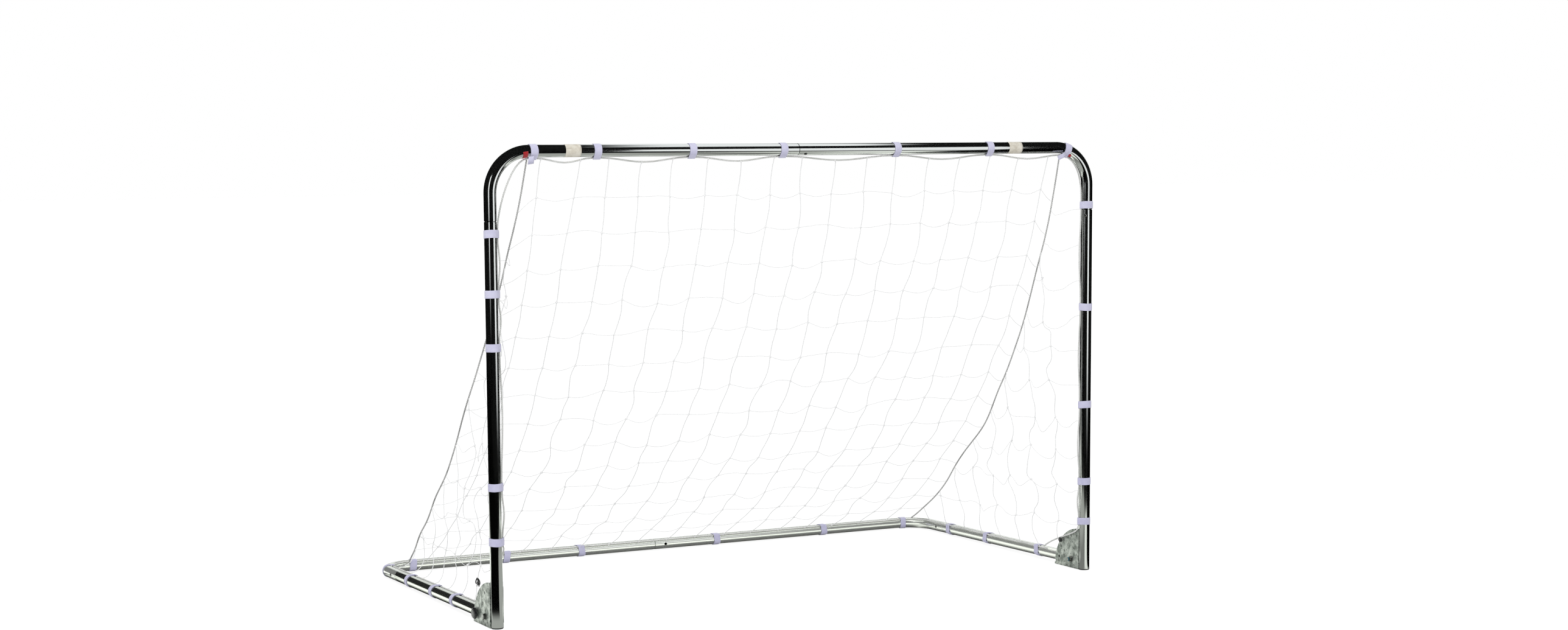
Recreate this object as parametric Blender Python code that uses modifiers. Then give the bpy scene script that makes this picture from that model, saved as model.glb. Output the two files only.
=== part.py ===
"""Folding soccer goal: steel tube front frame, folding base frame, net and straps.

The goal stands on the ground at z = 0. X runs along the crossbar, Y from the mouth to the
rear, and the origin is under the middle of the whole goal. Run it in Blender 4.5.
"""

import math

import bmesh
import bpy
from mathutils import Matrix, Vector
from mathutils.geometry import intersect_point_line

# Overall size, outside to outside of the tubes
GOAL_WIDTH = 1.829
GOAL_HEIGHT = 1.219
GOAL_DEPTH = 0.946

# Frame tube
TUBE_RADIUS = 0.016
TUBE_WALL = 0.0014
TUBE_SIDES = 14
HOLE_SIDES = 12
TOP_BEND_RADIUS = 0.105
REAR_BEND_RADIUS = 0.085
BEND_STEPS = 10

# Clearance between pieces that touch
FIT_GAP = 0.0003

# Tube joints: the place of each joint line, and how far the narrowed end goes in.
# The uprights' joints lie below the goal's top, those of the side tubes ahead of the rear bar.
CROSSBAR_JOINT_X = -0.029
UPRIGHT_JOINT_DROP = 0.191
REAR_JOINT_X = -0.035
SIDE_JOINT_AHEAD = 0.169
SWAGE_LENGTH = 0.060
SHOULDER_LENGTH = 0.004
CROSSBAR_BUTTON_REACH = 0.020
UPRIGHT_BUTTON_REACH = 0.016
BASE_BUTTON_REACH = 0.034

# Snap buttons
BUTTON_RADIUS = 0.004
BUTTON_PROUD = 0.0025
BUTTON_CLEARANCE = 0.0004
LEAF_WIDTH = 0.007
LEAF_LENGTH = 0.030
LEAF_THICKNESS = 0.0008

# Feet
FOOT_FLANGE = 0.003
FOOT_PLUG_LENGTH = 0.018

# Hinge brackets, measured from the upright's axis
PLATE_RADIUS = 0.118
PLATE_THICKNESS = 0.002
PLATE_LIFT = 0.0012
PLATE_FRONT = 0.002
PLATE_NOTCH = 0.006
PLATE_NOTCH_LOW = 0.006
PLATE_NOTCH_HIGH = 0.017
WELD_RADIUS = 0.0013
WELD_MARGIN = 0.012
PIVOT_BEHIND = 0.037
PIVOT_HEIGHT = 0.0265
LOCK_REACH = 0.060
TUBE_END_REACH = 0.010

# Pivot bolt with washers and lock nut
BOLT_RADIUS = 0.004
BOLT_HEAD_FLATS = 0.013
BOLT_HEAD_HEIGHT = 0.0053
WASHER_RADIUS = 0.0085
WASHER_THICKNESS = 0.0016
NUT_HEIGHT = 0.0062
NUT_COLLAR_RADIUS = 0.0057
NUT_COLLAR_HEIGHT = 0.0018
BOLT_TAIL = 0.002

# Release knob on its collar, and the button behind it
LOCK_HOLE_RADIUS = 0.0043
COLLAR_RADIUS = 0.008
COLLAR_HEIGHT = 0.004
KNOB_RADIUS = 0.015
KNOB_SKIRT_WALL = 0.002
KNOB_TOP = 0.0034
KNOB_TRAVEL = 0.004

# Border rope, straps and net
ROPE_RADIUS = 0.0025
ROPE_SAG = 0.011
ROPE_BOW = 0.005
ROPE_CLEAR_OF_STRAP = 0.0015
ROPE_STEP_IN = 0.0027
ROPE_STEP_LENGTH = 0.007
ROPE_SIDES = 8
STRAP_WIDTH = 0.020
STRAP_THICKNESS = 0.0013
STRAP_BIG_STEPS = 10
STRAP_SMALL_STEPS = 2
STRAP_LAP_STEPS = 1
FRONT_LAP_START = 3
BASE_LAP_START = 1
STRAND_SIZE = 0.002
NET_COLUMNS = 13
NET_ROWS = 9
NET_CORNER_CUT = 2
NET_BESIDE_ROPE = 0.0072
NET_SIDE_INSET = 0.0262
NET_TOP_INSETS = {"left": 0.1018, "right": 0.0895}
NET_FOOT_INSETS = {"left": 0.082, "right": 0.042}
NET_REAR_INSET = 0.030
NET_BELLY = 0.018

# The seams hang as a curve that is pulled towards this place behind and above the ground
SEAM_PULL_DEPTH = 0.2335
SEAM_PULL_HEIGHT = 0.395

# Strap places. The leftmost strap of each bar lies this far in from the end of the bend, and
# the others at these shares: of the way from the middle to the uprights along the bars, of
# the goal's height on the uprights, of the way from front to rear on the side tubes. The top
# strap of each upright lies this far above its joint.
CROSSBAR_FIRST_STRAP = 0.010
CROSSBAR_STRAP_SHARES = (-0.676683361, -0.378408459, -0.082359488, 0.302726767, 0.634390651)
CROSSBAR_BEND_STRAP_ANGLE = math.radians(19)
LEFT_UPRIGHT_STRAP_SHARES = (0.182116489, 0.296144381, 0.584905660, 0.694831829)
RIGHT_UPRIGHT_STRAP_SHARES = (0.115668581, 0.210008203, 0.389663659, 0.618539787)
LEFT_JOINT_STRAP = -0.031
RIGHT_JOINT_STRAP = 0.013
REAR_FIRST_STRAP = 0.0105
REAR_STRAP_SHARES = (-0.570951586, -0.310517529, 0.191430161, 0.606566500)
REAR_BEND_STRAP_ANGLE = math.radians(16)
LEFT_SIDE_STRAP_SHARES = (0.320568928, 0.497811816, 0.713347921)
LEFT_BEND_STRAP_ANGLE = math.radians(18)
RIGHT_SIDE_STRAP_SHARES = (0.240700219, 0.540481400, 0.774617068)
NET_END_DEPTH = 0.170

# Values that follow from the sizes above
FACET = math.cos(math.pi / TUBE_SIDES)
HOLE_FACET = math.cos(math.pi / HOLE_SIDES)
SWAGE_RADIUS = TUBE_RADIUS * FACET - TUBE_WALL - FIT_GAP
UPRIGHT_X = GOAL_WIDTH / 2 - TUBE_RADIUS
FRONT_Y = -GOAL_DEPTH / 2 + TUBE_RADIUS
REAR_Y = GOAL_DEPTH / 2 - TUBE_RADIUS
CROSSBAR_Z = GOAL_HEIGHT - TUBE_RADIUS
UPRIGHT_JOINT_HEIGHT = GOAL_HEIGHT - UPRIGHT_JOINT_DROP
SIDE_JOINT_DEPTH = REAR_Y - FRONT_Y - SIDE_JOINT_AHEAD
CROSSBAR_STRAPS = (
    TOP_BEND_RADIUS - UPRIGHT_X + CROSSBAR_FIRST_STRAP,
    *(share * UPRIGHT_X for share in CROSSBAR_STRAP_SHARES),
)
REAR_STRAPS = (
    REAR_BEND_RADIUS - UPRIGHT_X + REAR_FIRST_STRAP,
    *(share * UPRIGHT_X for share in REAR_STRAP_SHARES),
)
LEFT_UPRIGHT_STRAPS = (
    *(share * GOAL_HEIGHT for share in LEFT_UPRIGHT_STRAP_SHARES),
    UPRIGHT_JOINT_HEIGHT + LEFT_JOINT_STRAP,
)
RIGHT_UPRIGHT_STRAPS = (
    *(share * GOAL_HEIGHT for share in RIGHT_UPRIGHT_STRAP_SHARES),
    UPRIGHT_JOINT_HEIGHT + RIGHT_JOINT_STRAP,
)
LEFT_SIDE_STRAPS = tuple(share * (REAR_Y - FRONT_Y) for share in LEFT_SIDE_STRAP_SHARES)
RIGHT_SIDE_STRAPS = tuple(share * (REAR_Y - FRONT_Y) for share in RIGHT_SIDE_STRAP_SHARES)
PLATE_OFFSET = TUBE_RADIUS + FIT_GAP
PIVOT = Vector((0.0, FRONT_Y + PIVOT_BEHIND, PIVOT_HEIGHT))
ROPE_OFFSET = TUBE_RADIUS + FIT_GAP + ROPE_RADIUS
STRAP_INNER = TUBE_RADIUS + FIT_GAP
SIDES = {"left": -1, "right": 1}

X_AXIS = Vector((1, 0, 0))
Y_AXIS = Vector((0, 1, 0))
Z_AXIS = Vector((0, 0, 1))


def clear_scene():
    """Remove what the scene holds, and make the two collections."""
    for item in list(bpy.data.objects):
        bpy.data.objects.remove(item)
    parts = bpy.data.collections.new("folding_soccer_goal")
    cutters = bpy.data.collections.new("cutters")
    bpy.context.scene.collection.children.link(parts)
    bpy.context.scene.collection.children.link(cutters)
    return parts, cutters


PARTS, CUTTERS = clear_scene()


def make_material(name, colour, metallic, roughness):
    """A plain Principled material."""
    material = bpy.data.materials.new(name)
    material.use_nodes = True
    shader = material.node_tree.nodes["Principled BSDF"]
    shader.inputs["Base Color"].default_value = (*colour, 1.0)
    shader.inputs["Metallic"].default_value = metallic
    shader.inputs["Roughness"].default_value = roughness
    return material


GALVANISED = make_material("galvanised_tube", (0.55, 0.57, 0.54), 1.0, 0.18)
ZINC_SHEET = make_material("zinc_sheet", (0.42, 0.46, 0.42), 1.0, 0.42)
BRIGHT_STEEL = make_material("bright_steel", (0.60, 0.60, 0.60), 1.0, 0.22)
BLACK_PLASTIC = make_material("black_plastic", (0.015, 0.015, 0.015), 0.0, 0.45)
WHITE_CORD = make_material("white_cord", (0.78, 0.78, 0.80), 0.0, 0.85)
STRAP_FABRIC = make_material("strap_fabric", (0.66, 0.65, 0.80), 0.0, 0.80)


def add_object(name, data, material, parent=None):
    """Link an object to the goal's collection, with its material and its parent."""
    item = bpy.data.objects.new(name, data)
    PARTS.objects.link(item)
    item.data.materials.clear()
    item.data.materials.append(material)
    if parent is not None:
        attach(item, parent)
    return item


def add_pivot(name, place, turn_x=0.0):
    """An empty on a joint's axis. What it carries turns with it."""
    pivot = bpy.data.objects.new(name, None)
    pivot.empty_display_size = 0.05
    pivot.location = place
    pivot.rotation_euler.x = turn_x
    PARTS.objects.link(pivot)
    return pivot


def attach(item, parent):
    """Hang an item that is drawn level on a pivot, so that the pivot's turn carries it."""
    item.parent = parent
    item.matrix_parent_inverse = Matrix.Translation(-parent.location)


def smooth_sides(mesh, degrees=40):
    """Round surfaces shade smooth, and their rims stay sharp."""
    mesh.shade_smooth()
    mesh.set_sharp_from_angle(angle=math.radians(degrees))


def basis(direction):
    """Two directions square to the given one."""
    direction = direction.normalized()
    helper = Z_AXIS if abs(direction.z) < 0.9 else X_AXIS
    first = helper.cross(direction).normalized()
    return first, direction.cross(first)


def turn_to(direction):
    """A matrix that turns +Z to the given direction."""
    first, second = basis(direction)
    return Matrix((first, second, direction.normalized())).transposed().to_4x4()


def rod(name, start, end, radius, sides=HOLE_SIDES):
    """A closed cylinder between two places."""
    axis = end - start
    mesh = bpy.data.meshes.new(name)
    bm = bmesh.new()
    bmesh.ops.create_cone(
        bm, cap_ends=True, segments=sides, radius1=radius, radius2=radius, depth=axis.length,
        matrix=Matrix.Translation((start + end) / 2) @ turn_to(axis),
    )
    bm.to_mesh(mesh)
    bm.free()
    item = bpy.data.objects.new(name, mesh)
    CUTTERS.objects.link(item)
    return item


def box(name, centre, size, turn=None):
    """A closed box that serves as a cutter or a joined shape."""
    mesh = bpy.data.meshes.new(name)
    bm = bmesh.new()
    matrix = Matrix.Translation(centre) @ (turn or Matrix.Identity(4)) @ Matrix.Diagonal((*size, 1.0))
    bmesh.ops.create_cube(bm, size=1.0, matrix=matrix)
    bm.to_mesh(mesh)
    bm.free()
    item = bpy.data.objects.new(name, mesh)
    CUTTERS.objects.link(item)
    return item


def as_guide(item, parent=None):
    """Cutters and joined shapes are kept as wire guides that aren't built."""
    item.hide_render = True
    item.display_type = "WIRE"
    if parent is not None:
        attach(item, parent)
    return item


def combine(target, tool, operation):
    """Cut the tool from the target, or join it to the target."""
    modifier = target.modifiers.new(f"{operation.lower()} {tool.name}", "BOOLEAN")
    modifier.operation = operation
    modifier.solver = "EXACT"
    modifier.object = tool


def turned(name, profile, place, direction, material, parent=None, steps=16):
    """A solid turned from (radius, height) points, listed from its top to its bottom."""
    mesh = bpy.data.meshes.new(name)
    points = [(radius, 0.0, height) for radius, height in profile]
    edges = [(index, index + 1) for index in range(len(points) - 1)]
    mesh.from_pydata(points, edges, [])
    item = add_object(name, mesh, material)
    item.matrix_world = Matrix.Translation(place) @ turn_to(direction)
    screw = item.modifiers.new("turn", "SCREW")
    screw.steps = steps
    screw.render_steps = steps
    screw.use_merge_vertices = True
    screw.merge_threshold = 0.00005
    screw.use_smooth_shade = True
    if parent is not None:
        attach(item, parent)
    return item


def with_bends(corners, bend_radius, steps=BEND_STEPS):
    """A route of straight runs with a round bend in each inner corner."""
    route = [corners[0]]
    for before, corner, after in zip(corners, corners[1:], corners[2:]):
        back = (before - corner).normalized()
        ahead = (after - corner).normalized()
        turn = math.pi - back.angle(ahead)
        reach = bend_radius * math.tan(turn / 2)
        centre = corner + (back + ahead).normalized() * (bend_radius / math.cos(turn / 2))
        first = corner + back * reach - centre
        axis = first.cross(corner + ahead * reach - centre).normalized()
        for step in range(steps + 1):
            route.append(centre + Matrix.Rotation(turn * step / steps, 3, axis) @ first)
    route.append(corners[-1])
    return route


def frame_tube(name, route, parent=None, swage_start=False, swage_end=False):
    """A hollow tube along a route. A swaged end is narrowed so that it fits in the next tube."""
    stations = [(place, 1.0) for place in route]
    narrow = SWAGE_RADIUS / TUBE_RADIUS
    if swage_start:
        ahead = (route[1] - route[0]).normalized()
        stations[0:1] = [
            (route[0] - ahead * SWAGE_LENGTH, narrow),
            (route[0], narrow),
            (route[0] + ahead * SHOULDER_LENGTH, 1.0),
        ]
    if swage_end:
        ahead = (route[-1] - route[-2]).normalized()
        stations[-1:] = [
            (route[-1] - ahead * SHOULDER_LENGTH, 1.0),
            (route[-1], narrow),
            (route[-1] + ahead * SWAGE_LENGTH, narrow),
        ]
    mesh = swept_mesh(name, stations, TUBE_RADIUS, (TUBE_SIDES - 4) // 2, False)
    item = add_object(name, mesh, GALVANISED, parent)
    wall = item.modifiers.new("wall", "SOLIDIFY")
    wall.thickness = TUBE_WALL
    wall.offset = -1
    wall.use_even_offset = True
    return item


def swept_mesh(name, stations, radius, resolution, capped):
    """The mesh of a round curve through (place, radius share) stations."""
    curve = bpy.data.curves.new(name, "CURVE")
    curve.dimensions = "3D"
    curve.bevel_depth = radius
    curve.bevel_resolution = resolution
    curve.use_fill_caps = capped
    spline = curve.splines.new("POLY")
    spline.points.add(len(stations) - 1)
    for point, (place, share) in zip(spline.points, stations):
        point.co = (*place, 1.0)
        point.radius = share
    guide = bpy.data.objects.new(name + "_route", curve)
    CUTTERS.objects.link(guide)
    graph = bpy.context.evaluated_depsgraph_get()
    mesh = bpy.data.meshes.new_from_object(guide.evaluated_get(graph))
    bm = bmesh.new()
    bm.from_mesh(mesh)
    bmesh.ops.remove_doubles(bm, verts=bm.verts, dist=0.00005)
    bmesh.ops.recalc_face_normals(bm, faces=bm.faces)
    bm.to_mesh(mesh)
    bm.free()
    mesh.name = name
    bpy.data.objects.remove(guide)
    bpy.data.curves.remove(curve)
    smooth_sides(mesh)
    return mesh


def drill(tubes, name, place, direction, radius, parent=None):
    """One straight hole through both walls of the tubes."""
    reach = direction.normalized() * (TUBE_RADIUS * 1.3)
    cutter = as_guide(rod(name, place - reach, place + reach, radius), parent)
    for tube in tubes:
        combine(tube, cutter, "DIFFERENCE")


def snap_button(name, place, outwards, along, parent=None):
    """A sprung button in a tube joint: the domed pin and the leaf that carries it.

    It stands through both walls of the joint. Its origin is on the tube's axis.
    """
    top = TUBE_RADIUS + BUTTON_PROUD
    bore = SWAGE_RADIUS - TUBE_WALL / FACET
    return sprung_pin(name, place, outwards, along, top, bore, parent)


def sprung_pin(name, place, outwards, along, top, bore, parent):
    """A domed pin on a leaf that lies under the wall of a bore."""
    leaf_face = math.sqrt((bore * FACET) ** 2 - (LEAF_WIDTH / 2) ** 2) - FIT_GAP
    dome = BUTTON_RADIUS * 0.45
    profile = [
        (0.0, top),
        (BUTTON_RADIUS * 0.55, top - dome * 0.25),
        (BUTTON_RADIUS, top - dome),
        (BUTTON_RADIUS, leaf_face - LEAF_THICKNESS / 2),
        (0.0, leaf_face - LEAF_THICKNESS / 2),
    ]
    pin = turned(name, profile, place, outwards, BRIGHT_STEEL, parent, steps=12)
    turn = Matrix((outwards.cross(along), along, outwards)).transposed().to_4x4()
    middle = place + outwards * (leaf_face - LEAF_THICKNESS / 2) + along * (LEAF_LENGTH / 2 - LEAF_WIDTH)
    leaf = box(name + "_leaf", middle, (LEAF_WIDTH, LEAF_LENGTH, LEAF_THICKNESS), turn)
    combine(pin, as_guide(leaf, parent), "UNION")
    return pin


def build_front_tubes():
    """Crossbar halves with their corners and stubs, and the lower uprights."""
    corner_left = Vector((-UPRIGHT_X, FRONT_Y, CROSSBAR_Z))
    corner_right = Vector((UPRIGHT_X, FRONT_Y, CROSSBAR_Z))
    centre = Vector((CROSSBAR_JOINT_X, FRONT_Y, CROSSBAR_Z))
    joint_left = Vector((-UPRIGHT_X, FRONT_Y, UPRIGHT_JOINT_HEIGHT))
    joint_right = Vector((UPRIGHT_X, FRONT_Y, UPRIGHT_JOINT_HEIGHT))
    left = frame_tube(
        "crossbar_left", with_bends([joint_left, corner_left, centre], TOP_BEND_RADIUS),
        swage_start=True, swage_end=True,
    )
    right = frame_tube(
        "crossbar_right", with_bends([centre + X_AXIS * FIT_GAP, corner_right, joint_right], TOP_BEND_RADIUS),
        swage_end=True,
    )
    button_place = centre + X_AXIS * CROSSBAR_BUTTON_REACH
    outwards = Vector((0.0, -0.64, -0.77)).normalized()
    drill([left, right], "crossbar_hole", button_place, outwards, BUTTON_RADIUS + BUTTON_CLEARANCE)
    snap_button("snap_button_crossbar", button_place, outwards, X_AXIS)
    for side, sign in SIDES.items():
        foot = Vector((sign * UPRIGHT_X, FRONT_Y, FOOT_FLANGE + FIT_GAP))
        top = Vector((sign * UPRIGHT_X, FRONT_Y, UPRIGHT_JOINT_HEIGHT - FIT_GAP))
        upright = frame_tube(f"upright_{side}", [foot, top])
        place = top - Z_AXIS * UPRIGHT_BUTTON_REACH
        outwards = Vector((-sign, -1.0, 0.0)).normalized()
        stub = left if side == "left" else right
        drill([upright, stub], f"upright_hole_{side}", place, outwards, BUTTON_RADIUS + BUTTON_CLEARANCE)
        snap_button(f"snap_button_upright_{side}", place, outwards, Z_AXIS)
        build_foot(side, sign)


def build_foot(side, sign):
    """The plug that closes an upright's foot, with a flange that it stands on."""
    bore = (TUBE_RADIUS - TUBE_WALL / FACET) * FACET - FIT_GAP
    flange = TUBE_RADIUS
    top = FOOT_FLANGE + FOOT_PLUG_LENGTH
    profile = [
        (0.0, top),
        (bore - 0.001, top),
        (bore, top - 0.002),
        (bore, FOOT_FLANGE),
        (flange, FOOT_FLANGE),
        (flange, 0.001),
        (flange - 0.001, 0.0),
        (0.0, 0.0),
    ]
    turned(f"foot_cap_{side}", profile, Vector((sign * UPRIGHT_X, FRONT_Y, 0.0)), Z_AXIS, BLACK_PLASTIC)


def strap_outline(rope_direction, lap_direction, lap_start):
    """The path of a strap round a tube and the rope beside it, with its lapped end.

    The flats of the path clear the tube and the rope by the fit gap. The last steps climb
    over the first ones by the strap's thickness.
    """
    spread = math.acos((TUBE_RADIUS - ROPE_RADIUS) / ROPE_OFFSET)
    big_step = (2 * math.pi - 2 * spread) / STRAP_BIG_STEPS
    small_step = 2 * spread / STRAP_SMALL_STEPS
    big = STRAP_INNER / math.cos(big_step / 2)
    small = (ROPE_RADIUS + FIT_GAP) / math.cos(small_step / 2)
    lap_end = lap_start + STRAP_LAP_STEPS
    stops = [(spread + big_step * step, big, 0.0) for step in range(lap_start, STRAP_BIG_STEPS + 1)]
    stops += [(-spread + small_step * step, small, ROPE_OFFSET) for step in range(STRAP_SMALL_STEPS + 1)]
    stops += [(spread + big_step * step, big, 0.0) for step in range(lap_end + 1)]
    climb = (STRAP_THICKNESS + FIT_GAP) / math.cos(big_step / 2)
    rising = len(stops) - STRAP_LAP_STEPS - 1
    outline = []
    for index, (angle, radius, offset) in enumerate(stops):
        reach = radius + (climb if index >= rising else 0.0)
        across = rope_direction * (offset + reach * math.cos(angle))
        outline.append(across + lap_direction * (reach * math.sin(angle)))
    return outline


def lowest_strap_point():
    """How far a rear bar strap, drawn with its thickness, reaches below the bar's axis."""
    outline = strap_outline((Z_AXIS - Y_AXIS).normalized(), -(Z_AXIS + Y_AXIS).normalized(), BASE_LAP_START)
    spread = math.acos((TUBE_RADIUS - ROPE_RADIUS) / ROPE_OFFSET)
    half_step = (math.pi - spread) / STRAP_BIG_STEPS
    return -min(point.z for point in outline) + STRAP_THICKNESS / math.cos(half_step)


REST_HEIGHT = lowest_strap_point()
BASE_SLOPE = math.asin((PIVOT_HEIGHT - REST_HEIGHT) / (REAR_Y - PIVOT.y))


def strap(name, place, along, rope_direction, lap_direction, lap_start, parent=None, bend=None):
    """A hook-and-loop strap. On a bend it is swept round the bend's centre."""
    bm = bmesh.new()
    points = strap_outline(rope_direction, lap_direction, lap_start)
    outline = [bm.verts.new(place + point) for point in points]
    edges = [bm.edges.new(pair) for pair in zip(outline, outline[1:])]
    if bend is None:
        bmesh.ops.translate(bm, verts=outline, vec=-along * STRAP_WIDTH / 2)
        wide = bmesh.ops.extrude_edge_only(bm, edges=edges)["geom"]
        moved = [item for item in wide if isinstance(item, bmesh.types.BMVert)]
        bmesh.ops.translate(bm, verts=moved, vec=along * STRAP_WIDTH)
    else:
        centre, axis, radius = bend
        angle = STRAP_WIDTH / radius
        bmesh.ops.rotate(bm, verts=outline, cent=centre, matrix=Matrix.Rotation(-angle / 2, 3, axis))
        bmesh.ops.spin(
            bm, geom=outline + edges, cent=centre, axis=axis, dvec=(0, 0, 0), angle=angle, steps=3,
            use_duplicate=False,
        )
    bmesh.ops.recalc_face_normals(bm, faces=bm.faces)
    point_away(bm, place, along)
    mesh = bpy.data.meshes.new(name)
    bm.to_mesh(mesh)
    bm.free()
    smooth_sides(mesh)
    item = add_object(name, mesh, STRAP_FABRIC, parent)
    cloth = item.modifiers.new("cloth", "SOLIDIFY")
    cloth.thickness = STRAP_THICKNESS
    cloth.offset = 1
    cloth.use_even_offset = True
    return item


def point_away(bm, place, along):
    """Turn a band's faces so that they look away from the tube inside it."""
    bm.faces.ensure_lookup_table()
    bm.normal_update()
    outward = 0.0
    for face in bm.faces:
        radial = face.calc_center_median() - place
        radial -= along * radial.dot(along)
        outward += radial.dot(face.normal)
    if outward < 0:
        bmesh.ops.reverse_faces(bm, faces=bm.faces)


def build_front_straps():
    """Straps on the crossbar and on the uprights. The rope lies on the goal's inner side."""
    for number, x in enumerate(CROSSBAR_STRAPS, 1):
        place = Vector((x, FRONT_Y, CROSSBAR_Z))
        strap(f"strap_crossbar_{number}", place, X_AXIS, -Z_AXIS, Y_AXIS, FRONT_LAP_START)
    centre, place, along, inwards = on_top_bend(CROSSBAR_BEND_STRAP_ANGLE)
    strap(
        f"strap_crossbar_{len(CROSSBAR_STRAPS) + 1}", place, along, inwards, Y_AXIS, FRONT_LAP_START,
        bend=(centre, Y_AXIS, TOP_BEND_RADIUS),
    )
    for side, heights in (("left", LEFT_UPRIGHT_STRAPS), ("right", RIGHT_UPRIGHT_STRAPS)):
        inwards = X_AXIS * -SIDES[side]
        for number, height in enumerate(heights, 1):
            place = Vector((SIDES[side] * UPRIGHT_X, FRONT_Y, height))
            strap(f"strap_upright_{side}_{number}", place, Z_AXIS, inwards, Y_AXIS, FRONT_LAP_START)


def on_top_bend(angle):
    """A place on the right top bend: its centre, the place, the tube's way and the way inwards."""
    centre = Vector((UPRIGHT_X - TOP_BEND_RADIUS, FRONT_Y, CROSSBAR_Z - TOP_BEND_RADIUS))
    outwards = Vector((math.sin(angle), 0.0, math.cos(angle)))
    along = Vector((math.cos(angle), 0.0, -math.sin(angle)))
    return centre, centre + outwards * TOP_BEND_RADIUS, along, -outwards


def on_rear_bend(sign, angle):
    """A place on a rear bend, with the angle counted from the rear bar's end."""
    centre = Vector((sign * (UPRIGHT_X - REAR_BEND_RADIUS), REAR_Y - REAR_BEND_RADIUS, PIVOT_HEIGHT))
    outwards = Vector((sign * math.sin(angle), math.cos(angle), 0.0))
    along = Vector((math.cos(angle), -sign * math.sin(angle), 0.0))
    return centre, centre + outwards * REAR_BEND_RADIUS, along, -outwards


def build_plates(side, sign):
    """The two cheeks of a hinge bracket, with their holes, weld and collar."""
    lock = PIVOT + Vector((0.0, math.cos(BASE_SLOPE), -math.sin(BASE_SLOPE))) * LOCK_REACH
    folded_lock = PIVOT + Z_AXIS * LOCK_REACH
    holes = {"pivot": (PIVOT, (BOLT_RADIUS + FIT_GAP) / HOLE_FACET), "lock": (lock, LOCK_HOLE_RADIUS)}
    holes["folded_lock"] = (folded_lock, LOCK_HOLE_RADIUS)
    for face, facing in (("outer", sign), ("inner", -sign)):
        name = f"hinge_plate_{side}_{face}"
        middle = sign * UPRIGHT_X + facing * (PLATE_OFFSET + PLATE_THICKNESS / 2)
        plate = plate_blank(name, middle)
        # The weld bead runs down the front edge, just off the upright.
        reach = TUBE_RADIUS + FIT_GAP + WELD_RADIUS
        bead_x = sign * UPRIGHT_X + facing * reach
        low = Vector((bead_x, FRONT_Y + WELD_RADIUS, PLATE_LIFT + WELD_MARGIN))
        high = Vector((bead_x, FRONT_Y + WELD_RADIUS, PLATE_RADIUS - WELD_MARGIN))
        combine(plate, as_guide(rod(name + "_weld", low, high, WELD_RADIUS, 8)), "UNION")
        if face == "outer":
            seat = Vector((middle, lock.y, lock.z))
            rim = seat + X_AXIS * facing * (PLATE_THICKNESS / 2 + COLLAR_HEIGHT)
            combine(plate, as_guide(rod(name + "_collar", seat, rim, COLLAR_RADIUS, 20)), "UNION")
        for label, (place, radius) in holes.items():
            across = X_AXIS * (PLATE_THICKNESS + COLLAR_HEIGHT + FIT_GAP)
            centre = Vector((middle, place.y, place.z))
            drill_rod = rod(f"{name}_{label}", centre - across, centre + across, radius)
            combine(plate, as_guide(drill_rod), "DIFFERENCE")


def plate_blank(name, middle):
    """A quarter-round cheek, cut from sheet, with the small notch in its rear edge."""
    low = math.asin(PLATE_NOTCH_HIGH / PLATE_RADIUS)
    high = math.acos(PLATE_FRONT / PLATE_RADIUS)
    outline = [(PLATE_FRONT, PLATE_LIFT), (PLATE_RADIUS, PLATE_LIFT), (PLATE_RADIUS, PLATE_NOTCH_LOW)]
    outline.append((PLATE_RADIUS - PLATE_NOTCH, (PLATE_NOTCH_LOW + PLATE_NOTCH_HIGH) / 2))
    steps = 14
    for step in range(steps + 1):
        angle = low + (high - low) * step / steps
        outline.append((PLATE_RADIUS * math.cos(angle), PLATE_RADIUS * math.sin(angle)))
    curve = bpy.data.curves.new(name, "CURVE")
    curve.dimensions = "2D"
    curve.fill_mode = "BOTH"
    curve.extrude = PLATE_THICKNESS / 2
    spline = curve.splines.new("POLY")
    spline.points.add(len(outline) - 1)
    for point, (behind, height) in zip(spline.points, outline):
        point.co = (behind, height, 0.0, 1.0)
    spline.use_cyclic_u = True
    guide = bpy.data.objects.new(name + "_outline", curve)
    CUTTERS.objects.link(guide)
    graph = bpy.context.evaluated_depsgraph_get()
    mesh = bpy.data.meshes.new_from_object(guide.evaluated_get(graph))
    bm = bmesh.new()
    bm.from_mesh(mesh)
    bmesh.ops.remove_doubles(bm, verts=bm.verts, dist=0.00005)
    # The sheet is drawn flat, then stood up with its thickness along X.
    stand = Matrix((Y_AXIS, Z_AXIS, X_AXIS)).transposed().to_4x4()
    bmesh.ops.transform(bm, verts=bm.verts, matrix=Matrix.Translation((middle, FRONT_Y, 0.0)) @ stand)
    bmesh.ops.recalc_face_normals(bm, faces=bm.faces)
    bm.to_mesh(mesh)
    bm.free()
    bpy.data.objects.remove(guide)
    bpy.data.curves.remove(curve)
    return add_object(name, mesh, ZINC_SHEET)


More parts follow.
